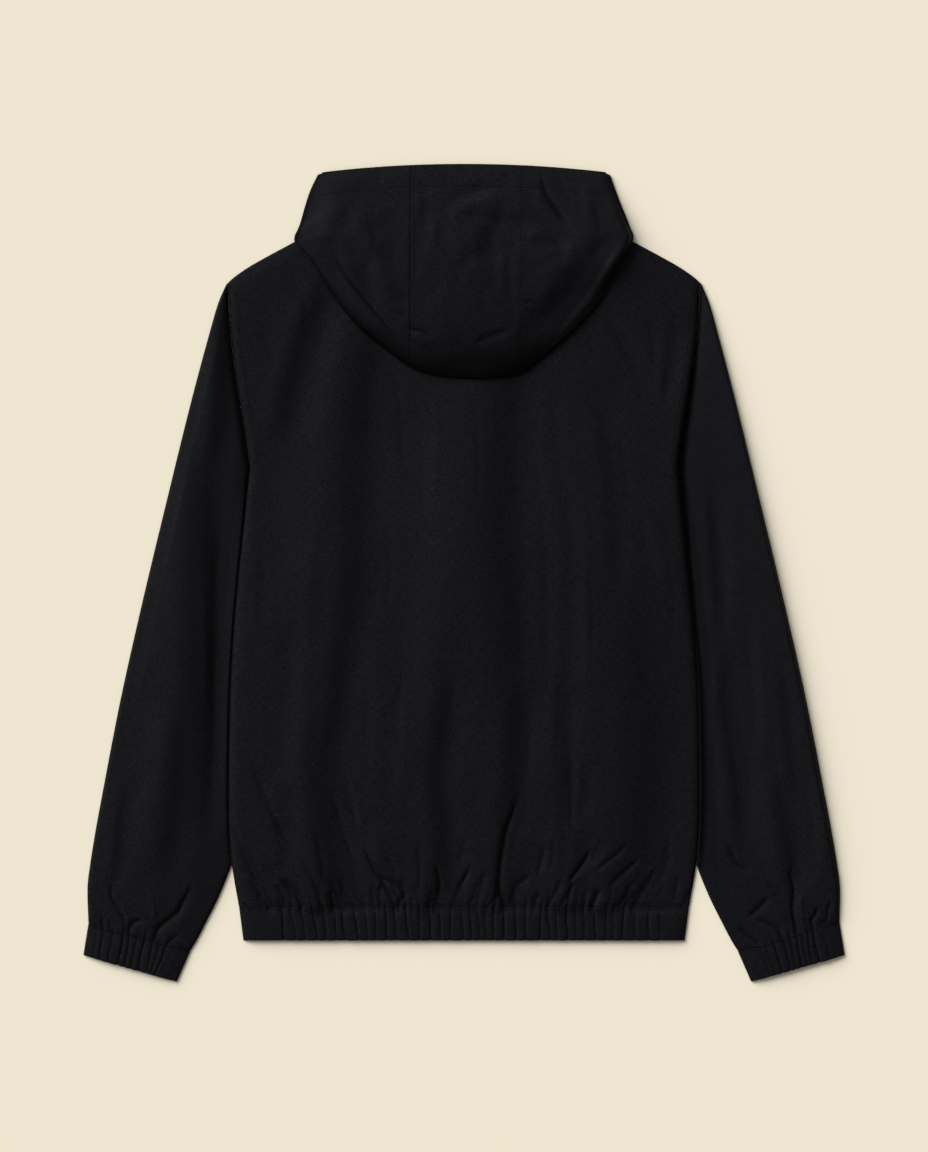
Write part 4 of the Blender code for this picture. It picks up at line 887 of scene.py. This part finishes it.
HOOD_CREASES = (
    (((-134, 330), (-124, 306), (-110, 286), (-97, 270), (-82, 252), (-64, 234),
      (-50, 222)), 2.6, 4.4, -1.9, 0.5),
    (((-117, 296), (-104, 280), (-92, 270)), 2.4, 2.4, -0.7),
    (((-124, 268), (-104, 250), (-84, 231), (-64, 216)), 2.6, 3.4, -1.4),
    (((-108, 340), (-92, 304), (-78, 262)), 14, 14, 0.4, 3.2),
    (((-120, 310), (-104, 286), (-84, 256), (-62, 232)), 9, 9, -0.3, -2.4),
    (((-60, 247), (-52, 243), (-43, 241), (-30, 233)), 2, 2.4, -1.9),
    (((-54, 236), (-44, 232), (-36, 224)), 3.4, 3.4, 1.2),
    (((-74, 262), (-64, 258), (-55, 262)), 2.4, 2.4, -0.7),
    (((-70, 276), (-62, 274), (-54, 277)), 2.4, 2.4, -0.6),
    (((-70, 372), (-74, 350), (-66, 326)), 12, 12, -0.3, -1),
    (((76, 402), (80, 382), (89, 366), (98, 354), (107, 342)), 3.4, 3.4, -2, -0.5),
    (((72, 384), (80, 364), (92, 350)), 5, 5, 0.8),
    (((92, 404), (104, 380), (112, 362)), 5, 5, -0.5, 0.6),
    (((108, 332), (103, 316), (104, 300)), 5, 6, 0.9, 0.6),
    (((150, 356), (124, 318), (97, 283), (71, 254), (56, 232)), 19, 17, -0.3, -5.4),
    (((54, 364), (46, 341), (41, 314)), 10, 10, -0.2, -1.8),
    (((-120, 352), (-125, 330), (-120, 306), (-106, 284)), 12, 12, 0.3, 2.6),
    (((-158, 340), (-150, 318), (-132, 292)), 10, 10, 0.2, 2),
    (((158, 334), (134, 290), (108, 254), (84, 226)), 6, 6, 0.6, 1.8),
    (((-2, 368), (14, 332), (36, 290)), 22, 22, -0.2, -2.8),
    (((46, 372), (26, 344), (4, 306)), 18, 18, -0.3, -4.4),
    (((-22, 352), (-4, 368), (26, 378), (52, 376)), 9, 9, 0.3, -1.8),
    (((66, 350), (82, 340), (98, 318)), 10, 10, -0.3, -1.6),
    (((-100, 352), (-84, 330), (-84, 300)), 12, 12, -0.2, -1.5),
    (((58, 268), (66, 270), (76, 266)), 2.2, 2.2, -1.2),
    (((58, 262), (66, 261), (72, 256)), 2.2, 2.2, -1),
    (((60, 330), (74, 328), (90, 320)), 4.5, 4.5, -1, 0.4),
    (((62, 338), (78, 338), (90, 332)), 4, 4, 0.7),
    (((-8, 356), (10, 358), (30, 354), (52, 348)), 6, 9, -1.1, 1.2),
    (((-10, 350), (-2, 328), (2, 300)), 8, 10, -0.6, -1.4),
    (((40, 326), (34, 306), (38, 276)), 8, 8, 0.2, 1),
    (((44, 322), (42, 296), (44, 270)), 6, 6, -0.3, -0.8),
    (((-24, 322), (-34, 302), (-28, 272)), 8, 9, -0.3, -0.8),
    (((-12, 386), (4, 378), (24, 382)), 6, 8, -0.8, 0.5),
    (((6, 392), (16, 384), (34, 384)), 3, 3, -0.6),
    (((6, 226), (20, 234), (36, 240), (50, 242)), 5, 4, -1.5, 0.5),
    (((-36, 222), (-14, 226), (4, 220)), 7, 7, -0.7),
    (((-110, 392), (-92, 378), (-66, 374)), 8, 8, -0.4, 0.9),
    (((-96, 352), (-90, 334), (-92, 314)), 3, 4, -0.6),
    (((-106, 372), (-112, 340), (-102, 306)), 11, 11, 0.2, 1.8),
    (((-134, 380), (-142, 350), (-136, 322)), 13, 13, 0.2, 2.6),
    (((-84, 318), (-90, 300), (-80, 276)), 9, 9, 0.2, 1.6),
    (((-26, 366), (-36, 336), (-32, 306)), 10, 10, 0.2, 1.5),
    (((-74, 344), (-70, 322), (-74, 300)), 4, 3, -0.5),
    (((-30, 360), (-24, 340), (-28, 318)), 3, 4, -0.35),
    (((-14, 316), (-6, 296), (-12, 276)), 4, 5, -0.35),
    (((14, 286), (20, 268), (12, 250)), 5, 5, -0.4),
    (((38, 300), (48, 284), (46, 262)), 4, 5, -0.35),
    (((-46, 296), (-38, 284), (-42, 266)), 4, 4.4, -0.35),
    (((28, 356), (40, 342), (44, 326)), 4, 4, -0.6),
    (((126, 372), (134, 352), (134, 334)), 3.4, 4, -0.7),
    (((62, 308), (74, 300), (84, 288)), 4, 4, -0.6),
    (((-88, 402), (-84, 392), (-86, 384)), 3, 3, -0.6),
    (((-22, 404), (-18, 394), (-20, 386)), 3, 3, -0.5),
    (((40, 402), (44, 392), (42, 384)), 3, 3, -0.5),
    (((116, 392), (122, 372), (120, 352)), 8, 8, 0.5, 0.9),
    (((-46, 388), (-40, 372), (-44, 350)), 6, 6, -0.4, -0.8),
)


def hood_section(row):
    """Where the hood leaves the brim, folds under and is sewn on, at rows of its table."""
    return [along(list(enumerate(column)), row) for column in zip(*HOOD_SECTIONS)]


def under_share(v):
    """How far the hood's rows v are from its fold to the neck seam."""
    return np.clip((v - HOOD_TOP_SHARE - HOOD_TURN_SHARE) / (1 - HOOD_TOP_SHARE - HOOD_TURN_SHARE), 0, 1)


def hood_under_z(x, y):
    """Middle of the hood's under layer: on the back, and down to the surface beyond the shoulder seam."""
    edge = neck_y(x)
    on_back = back_z(x, np.minimum(y, edge - 0.01)) + CLOTH + 0.25
    return blend(on_back, LOW, ease((y - edge - 3) / 14))


def from_fold(x, y):
    """How far the points x, y are inside the hood's folded outline."""
    row = np.linspace(0, HOOD_LAST, 161)
    _, fold_x, fold_y, _ = hood_section(row)
    nearest = np.full_like(x, 1e9)
    for edge_x, edge_y in zip(fold_x, fold_y):
        nearest = np.minimum(nearest, np.hypot(x - edge_x, y - edge_y))
    return nearest


def hood_point(row, v):
    """Points of the hood: down its top layer, round its fold, and back under to the neck seam.
    Also the painted shade of each.
    """
    brim_x, fold_x, fold_y, sewn_x = hood_section(row)
    side = np.abs(2 * row / HOOD_LAST - 1)
    before, after = hood_section(np.maximum(row - 0.05, 0)), hood_section(np.minimum(row + 0.05, HOOD_LAST))
    run_x, run_y = after[1] - before[1], after[2] - before[2]
    length = np.hypot(run_x, run_y)
    out_x, out_y = run_y / length, -run_x / length
    brim_y = BRIM_TOP - BRIM_BOW * brim_x**2
    reach = ROLL + CLOTH / 2
    turn_x, turn_y = fold_x - out_x * reach, fold_y - out_y * reach
    low_z = hood_under_z(turn_x, turn_y)
    corner = ease((side - 0.9) / 0.1)
    brim_x, brim_y = blend(brim_x, turn_x, corner), blend(brim_y, turn_y, corner)
    down = np.clip(v / HOOD_TOP_SHARE, 0, 1)
    turn = np.pi * np.clip((v - HOOD_TOP_SHARE) / HOOD_TURN_SHARE, 0, 1)
    under = under_share(v)
    down = 1 - (1 - down) ** 1.25
    x_top, y_top = blend(brim_x, turn_x, down), blend(brim_y, turn_y, down)
    waves, painted_shade = creased(x_top, y_top, HOOD_CREASES)
    waves = 0.8 * waves + 0.4 * crumple(x_top + 700, y_top, 26, 12)
    waves = waves + 0.2 * crumple(x_top + 700, y_top, 10, 13)
    from_brim = brim_y - y_top
    inside = np.maximum(from_fold(x_top, y_top) - reach, 0)
    rolled = np.exp(-((inside / along(ROLL_DOWN, x_top)) ** 1.3))
    right_shoulder = ease((x_top - 92) / 36) * ease((y_top - 276) / 36)
    soft = np.exp(-inside / along(ROLL_SOFT, x_top)) * (1 - right_shoulder)
    # Painted shade on the roll's fall towards its fold: a dark core and a softer wedge
    shade = inside / along(ROLL_SHADE, x_top)
    shade = np.maximum(0.92 * np.exp(-((shade / 0.5) ** 2)), 0.66 * np.exp(-((shade / 1.1) ** 2)))
    painted_shade = np.maximum(painted_shade, shade * ease(from_brim / 60))
    slow, quick = 1 - (1 - np.clip(from_brim / 135, 0, 1)) ** 2, 1 - np.exp(-np.maximum(from_brim, 0) / 34)
    crown = blend(BRIM_Z, CROWN, blend(slow, quick, along(BRIM_QUICK, x_top)))
    at_brim = 1 - np.exp(-np.maximum(from_brim, 0) / 4)
    hem = 0.2 * (1 - ease((from_brim - BRIM_HEM) / 1.5))
    hem = hem - 0.2 * np.exp(-(((from_brim - BRIM_HEM + 1) / 1.2) ** 2))
    z_top = blend(crown, np.minimum(crown, SHOULDER_Z), soft) + (waves + hem) * at_brim
    over = hood_under_z(x_top, y_top) + 2 * ROLL
    z_top = blend(z_top, over, rolled)
    z_top = np.where(down < 1, soft_floor(z_top, np.minimum(over, 5.2) - 0.6), over)
    out = ROLL * np.sin(turn)
    x_turn, y_turn = turn_x + out_x * out, turn_y + out_y * out
    z_turn = low_z + ROLL + ROLL * np.cos(turn)
    past_neck = HOOD_CORNER_OUT * (1 - ease(np.minimum(row, HOOD_LAST - row)))
    x_under, y_under = blend(turn_x, sewn_x, under), blend(turn_y, neck_y(sewn_x) + past_neck, under)
    z_under = hood_under_z(x_under, y_under)
    zones = [v <= HOOD_TOP_SHARE, v <= HOOD_TOP_SHARE + HOOD_TURN_SHARE]
    x = np.select(zones, [x_top, x_turn], x_under)
    y = np.select(zones, [y_top, y_turn], y_under)
    z = np.select(zones, [z_top, z_turn], z_under)
    # Painted shade on the turn of the fold where its roll is shaded
    turn_shade = 0.92 * ease((along(ROLL_SHADE, turn_x) - 2) / 4) * ease((side - 1.02) / -0.1)
    return x, y, z, np.select(zones, [painted_shade, turn_shade], 0)


def hood_flap(side, across, v):
    """Points of the hood's front, flat on the surface between the brim and the front neck seam."""
    last_row = np.array([HOOD_LAST if side > 0 else 0.0])
    corner = [float(value[0]) for value in hood_point(last_row, np.array([0.0]))[:2]]
    brim_x = blend(abs(corner[0]), FRONT_EDGE, across)
    brim_y = blend(corner[1], FRONT_NECK + HOOD_FRONT_STAND, across**HOOD_FRONT_CURVE)
    sewn_x = blend(NECK_HALF, FRONT_EDGE, across)
    sewn_y = front_neck_y(sewn_x) + blend(HOOD_CORNER_OUT, 0.6, ease(across * 5))
    sewn_x = sewn_x + HOOD_CORNER_IN * (1 - ease(across * 5))
    bend_y = blend(NECK_TOP + HOOD_BEND, FRONT_NECK + HOOD_FRONT_STAND / 2, across)
    t = under_share(v)
    x = brim_x * (1 - t) ** 2 + sewn_x * (1 - (1 - t) ** 2)
    y = brim_y * (1 - t) ** 2 + bend_y * 2 * t * (1 - t) + sewn_y * t**2
    return side * x, y, np.full_like(x, LOW), np.zeros_like(x)


def seam_dip(distance):
    """How deep in a seam the cloth is, at a distance from it."""
    return np.exp(-((distance / 0.8) ** 2))


def place_hood_middle(u, v):
    row = blend(HOOD_LEFT_SEAM, HOOD_RIGHT_SEAM, u)
    x, y, z, painted_shade = hood_point(row, v)
    dip = seam_dip(np.minimum(u, 1 - u) * 110) * (v < HOOD_TOP_SHARE + 0.5 * HOOD_TURN_SHARE)
    # Painted shade along the seam, besides its shallow dip
    x, painted_shade = x + 0.5 * (u - 0.5), np.maximum(painted_shade, 0.3 * dip)
    return x, y, z - 0.08 * dip, u * MIDDLE_CUT[0], v * MIDDLE_CUT[1], painted_shade


def make_hood_side(name, side, seam_row, node):
    corner_row = 0 if side < 0 else HOOD_LAST
    pouch_share = 0.74

    def place(u, v):
        out = np.clip(u / pouch_share, 0, 1)
        x, y, z, painted_shade = hood_point(blend(seam_row, corner_row, out), v)
        dip = seam_dip(out * 100) * (v < HOOD_TOP_SHARE + 0.5 * HOOD_TURN_SHARE)
        flap = hood_flap(side, np.clip((u - pouch_share) / (1 - pouch_share), 0, 1), v)
        in_flap = u > pouch_share
        # Painted shade along the seam, besides its shallow dip
        pouch = x, y, z - 0.08 * dip, np.maximum(painted_shade, 0.3 * dip)
        x, y, z, painted_shade = (np.where(in_flap, b, a) for a, b in zip(pouch, flap))
        return x, y, z, u * SIDE_CUT[0], v * SIDE_CUT[1], painted_shade

    return shell(
        name, 112, 168, place, body_cloth, node,
    )


hood_middle = shell(
    "hood_middle_strip", 64, 168, place_hood_middle, body_cloth, "hood_middle",
)
hood_left = make_hood_side("hood_left_panel", -1, HOOD_LEFT_SEAM, "hood_left")
hood_right = make_hood_side("hood_right_panel", 1, HOOD_RIGHT_SEAM, "hood_right")

# --------------------------------------
# Zip. Two woven tapes with a corded edge, sewn behind the edges of the fronts, and a chain of black
# lacquered metal teeth on their cords. It is closed, its slider at the neck and its pull hanging.
# --------------------------------------
TAPE_IN, TAPE_OUT, TAPE_Z, TAPE = 3.1, 16.0, 2.0, 0.6
ZIP_BOTTOM, ZIP_TOP, TAPE_TOP = -366.4, 311.7, 315.0
TOOTH_PITCH = 2.2
DARK, LIGHT = (0.0006, 0.0006, 0.0007, 1), (0.0050, 0.0050, 0.0056, 1)
tape_weave = cloth_material("zip tape weave", DARK, LIGHT, 3200.0, 0.9)


def make_tape(name, side, node):
    def place(u, v):
        x, y = blend(TAPE_IN, TAPE_OUT, u), blend(TAPE_TOP, ZIP_BOTTOM, v)
        cord = 0.05 * np.exp(-(((x - TAPE_IN - 0.6) / 0.7) ** 2))
        ribs = 0.025 * np.sin(x * 5.2) * (x > 5.5)
        # The last value darkens a narrow line along the tape, 5.1 mm from the zip's middle, through the
        # shade attribute
        return side * x, y, TAPE_Z + cord + ribs, x, y, np.exp(-(((x - 5.1) / 0.5) ** 2))

    return shell(
        name, 26, 90, place, tape_weave, node,
        thick=TAPE,
    )


make_tape("zip_tape_left_weave", -1, "zip_tape_left")
make_tape("zip_tape_right_weave", 1, "zip_tape_right")


def lacquer_material():
    """Black lacquer on metal, a little uneven, and thinner on its high spots."""
    made, tree, shader = new_material("black lacquered metal")
    place = add_node(tree, "TexCoord", out="Object")
    cloud = add_node(tree, "TexNoise", [("Vector", place), ("Scale", 900.0), ("Detail", 3.0)])
    tones = [(0, cloud), (6, (0.016, 0.016, 0.018, 1)), (7, (0.040, 0.040, 0.043, 1))]
    worn = add_node(tree, "Mix", tones, 2, data_type="RGBA")
    rough = add_node(tree, "Math", [(0, cloud), (1, 0.25), (2, 0.30)], operation="MULTIPLY_ADD")
    bump = add_node(tree, "Bump", [("Height", cloud), ("Distance", 0.02 * MM), ("Strength", 0.5)])
    feed(tree, shader, [("Base Color", worn), ("Roughness", rough), ("Normal", bump), ("Metallic", 0.35)])
    return made


lacquer = lacquer_material()


def slab(form, outline, low, high, chamfer, hole=None):
    """Add a plate with chamfered rims. Its outline (x, y) runs anticlockwise, and so does a hole's rim."""
    rings = []
    for z, inset in ((low, chamfer), (low + chamfer, 0), (high - chamfer, 0), (high, chamfer)):
        ring_of = []
        for rim, grow in ((outline, -inset), (hole, inset)):
            if rim is None:
                continue
            count = len(rim)
            row = []
            for i, (x, y) in enumerate(rim):
                before, after = Vector(rim[i - 1]), Vector(rim[(i + 1) % count])
                run = (after - before).normalized()
                row.append(form.verts.new(((x + run.y * grow) * MM, (y - run.x * grow) * MM, z * MM)))
            ring_of.append(row)
        rings.append(ring_of)
    for rim in range(len(rings[0])):
        for lower, upper in zip(rings, rings[1:]):
            count = len(lower[rim])
            for i in range(count):
                j = (i + 1) % count
                quad = [lower[rim][i], lower[rim][j], upper[rim][j], upper[rim][i]]
                form.faces.new(quad if rim == 0 else quad[::-1])
    for ring_of, top in ((rings[0], False), (rings[-1], True)):
        if len(ring_of) == 1:
            form.faces.new(ring_of[0] if top else ring_of[0][::-1])
            continue
        outer, inner = ring_of
        count = len(outer)
        for i in range(count):
            j = (i + 1) % count
            quad = [outer[i], outer[j], inner[j], inner[i]]
            form.faces.new(quad if top else quad[::-1])


def finish_metal(name, form, node):
    bmesh.ops.triangulate(form, faces=[face for face in form.faces if len(face.verts) > 4])
    made = in_scene(name, form, lacquer)
    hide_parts(node)
    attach(made, "root")


TOOTH = (
    (2.8, -0.45), (2.8, 0.45), (1, 0.42), (0.5, 0.62), (-0.55, 0.62), (-0.9, 0.3), (-0.9, -0.3),
    (-0.55, -0.62), (0.5, -0.62), (1, -0.42),
)
form = bmesh.new()
for count in range(int((ZIP_TOP - ZIP_BOTTOM - 1.4) / TOOTH_PITCH) + 1):
    side = 1 if count % 2 else -1
    y = ZIP_BOTTOM + 0.7 + count * TOOTH_PITCH
    rim = [(side * tooth_x, y + tooth_y) for tooth_x, tooth_y in TOOTH]
    slab(form, rim if side > 0 else rim[::-1], 1.0, 2.6, 0.2)
finish_metal("zip_teeth", form, "zip_chain")

form = bmesh.new()
PLATE = (
    (-3.4, 302), (3.4, 302), (4.6, 304), (5.4, 307.5), (5.4, 311.5), (4.4, 314), (3.2, 315), (-3.2, 315),
    (-4.4, 314), (-5.4, 311.5), (-5.4, 307.5), (-4.6, 304),
)
slab(form, PLATE, 0.0, 0.7, 0.2)
slab(form, PLATE, 2.9, 3.6, 0.2)
for side in (-1, 1):
    rail = [(side * 4.7, 304.6), (side * 5.3, 307.4), (side * 5.3, 311.2), (side * 4.5, 313.0)]
    slab(form, rail if side > 0 else rail[::-1], 0.6, 1.3, 0.12)
bridge = [(-2.6, 312.1), (2.6, 312.1), (2.8, 313.5), (2.4, 315), (-2.4, 315), (-2.8, 313.5)]
slab(form, bridge, 0.5, 3.1, 0.12)
PULL = [
    (2.1, 302.35), (-2.1, 302.35), (-1.7, 300.6), (-1.7, 298.6), (-2.5, 296), (-2.5, 284.4), (-2.2, 282),
    (-1.2, 280.4), (0, 280), (1.2, 280.4), (2.2, 282), (2.5, 284.4), (2.5, 296), (1.7, 298.6),
    (1.7, 300.6),
]
HOLE = [
    (0.9, 293), (-0.9, 293), (-1, 291), (-1.1, 289), (-1.1, 287.5), (-1.1, 286), (-1, 284.6),
    (-0.6, 283.4), (0, 283), (0.6, 283.4), (1, 284.6), (1.1, 286), (1.1, 287.5), (1.1, 289), (1, 291),
]
slab(form, PULL, 0.0, 0.7, 0.15, HOLE)
finish_metal("zip_slider_and_pull", form, "zip_slider")

# --------------------------------------
# Stitches. Rows of lockstitch in black thread, sunk into the cloth: beside the hood's seams, along its brim
# hem, at the seams of band and cuffs, round the armholes, and along the fronts' zip edges.
# --------------------------------------
STITCH_PITCH, STITCH_LONG, STITCH_HALF, STITCH_HIGH = 3.0, 1.9, 0.45, 0.22
DARK, LIGHT = (0.0002, 0.0002, 0.0002, 1), (0.0012, 0.0012, 0.0014, 1)
thread = cloth_material("sewing thread", DARK, LIGHT, 6000.0, 0.8, 0.3)


def surface_of(*pieces):
    """The pieces' surfaces, to find a stitch's place on."""
    corners, faces = [], []
    for piece in pieces:
        start = len(corners)
        corners += [vertex.co.copy() for vertex in piece.data.vertices]
        faces += [[start + corner for corner in face.vertices] for face in piece.data.polygons]
    return BVHTree.FromPolygons(corners, faces)


def stitch_rows(name, rows, surface, from_below=False):
    """One piece with a stitch at each step along each row of points (x, y), set into the surface there."""
    form = bmesh.new()
    start_z, down = (-1.0, 1.0) if from_below else (40.0, -1.0)
    for points in rows:
        length = sum(math.dist(a, b) for a, b in zip(points, points[1:]))
        line, _ = smooth_line(points, max(2, int(length / STITCH_PITCH)))
        for here, there in zip(line, line[1:]):
            middle = 0.5 * (here + there)
            start = Vector((middle[0] * MM, middle[1] * MM, start_z * MM))
            hit, normal, _, _ = surface.ray_cast(start, Vector((0, 0, down)))
            if hit is None:
                continue
            run = Vector((there[0] - here[0], there[1] - here[1], 0)).normalized()
            run = (run - normal * run.dot(normal)).normalized()
            axes = run * (0.5 * STITCH_LONG), normal.cross(run) * STITCH_HALF, normal * STITCH_HIGH
            turned = Matrix(axes).transposed()
            place = Matrix.Translation(hit - normal * 0.02 * MM) @ (turned * MM).to_4x4()
            bmesh.ops.create_icosphere(form, subdivisions=1, radius=1.0, matrix=place)
    bmesh.ops.recalc_face_normals(form, faces=form.faces)
    made = in_scene(name, form, thread)
    made.data.shade_smooth()
    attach(made, "root")


hood_surface = surface_of(hood_left, hood_middle, hood_right)
seam_rows = []
for seam_row in (HOOD_LEFT_SEAM, HOOD_RIGHT_SEAM):
    for aside in (-2.6, 2.6):
        at = np.linspace(0.02, 0.93, 9) * HOOD_TOP_SHARE
        x, y, _, _ = hood_point(np.full(9, float(seam_row)), at)
        seam_rows.append(list(zip(x + aside, y)))
stitch_rows("stitches_hood_seams", seam_rows, hood_surface)
hem_x = np.linspace(-146, 146, 25)
hem_y = BRIM_TOP - BRIM_HEM - BRIM_BOW * hem_x**2
stitch_rows("stitches_brim_hem", [list(zip(hem_x, hem_y))], hood_surface)
body_surface = surface_of(back)
stitch_rows("stitches_band_seam", [[(-222, -330.6), (0, -330.6), (222, -330.6)]], body_surface)
armhole_rows = []
for side in (-1, 1):
    ys = np.linspace(112, 282, 10)
    armhole_rows.append([(side * (float(body_half(np.array([y]))[0]) - 8.5), float(y)) for y in ys])
stitch_rows("stitches_armholes", armhole_rows, body_surface)
for side, name, sleeve, seam_bow in (
    (-1, "stitches_cuff_left", sleeve_left, LEFT_CUFF_SEAM),
    (1, "stitches_cuff_right", sleeve_right, RIGHT_CUFF_SEAM),
):
    share = np.linspace(0.03, 0.97, 24)
    x = blend(CUFF_TOP_INNER[0], CUFF_TOP_OUTER[0], share)
    y = blend(CUFF_TOP_INNER[1], CUFF_TOP_OUTER[1], share) + along(seam_bow, share) + 2.6
    stitch_rows(name, [list(zip(side * x, y))], surface_of(sleeve))
front_rows = [[(side * FRONT_STITCH_X, y) for y in np.linspace(-331, 284, 12)] for side in (-1, 1)]
stitch_rows("stitches_zip_edges", front_rows, surface_of(front_left, front_right), from_below=True)

# --------------------------------------
# Surface, light and camera. The jacket lies on a plain cream surface, lit softly from its upper left, and
# is seen from straight above through a long lens.
# --------------------------------------
floor_paint, tree, shader = new_material("floor paint")
paint = ("Base Color", (0.80, 0.735, 0.590, 1)), ("Roughness", 0.9), ("Specular IOR Level", 0.1)
feed(tree, shader, paint)
form = bmesh.new()
bmesh.ops.create_grid(form, x_segments=1, y_segments=1, size=4)
floor = in_scene("floor", form, floor_paint)

# A pale room, brighter towards the upper left, and one wide soft light there, low over the surface
world = bpy.data.worlds.new("studio")
bpy.context.scene.world = world
world.use_nodes = True
room = world.node_tree
direction = add_node(room, "TexCoord", out="Generated")
bright_wall = Vector((-0.6, 0.7, 0.4)).normalized()
toward = add_node(room, "VectorMath", [(0, direction), (1, bright_wall)], "Value", operation="DOT_PRODUCT")
walls = [("Value", toward), ("From Min", -0.8), ("From Max", 1.0), ("To Min", 0.06), ("To Max", 0.60)]
walls = add_node(room, "MapRange", walls)
feed(room, room.nodes["Background"], [("Color", (1.0, 1.0, 1.0, 1)), ("Strength", walls)])

key = bpy.data.lights.new("key", "SUN")
key.energy = 4.6
key.angle = math.radians(44)
key_light = bpy.data.objects.new("key", key)
key_light.location = (-1.3, 1.05, 0.9)
key_light.rotation_euler = Vector((1.3, -1.05, -0.9)).to_track_quat("-Z", "Y").to_euler()
bpy.context.scene.collection.objects.link(key_light)

HEIGHT = 6.0  # of the lens above the surface
VIEW_TALL = 1.152
VIEW_CENTRE_Y = -0.0032
lens = bpy.data.cameras.new("camera")
lens.sensor_fit = "VERTICAL"
lens.sensor_height = 24.0
lens.lens = lens.sensor_height * HEIGHT / VIEW_TALL
lens.clip_end = 50
camera = bpy.data.objects.new("camera", lens)
camera.location = (0, VIEW_CENTRE_Y, HEIGHT)
bpy.context.scene.collection.objects.link(camera)
bpy.context.scene.camera = camera
bpy.context.scene.view_settings.view_transform = "Standard"
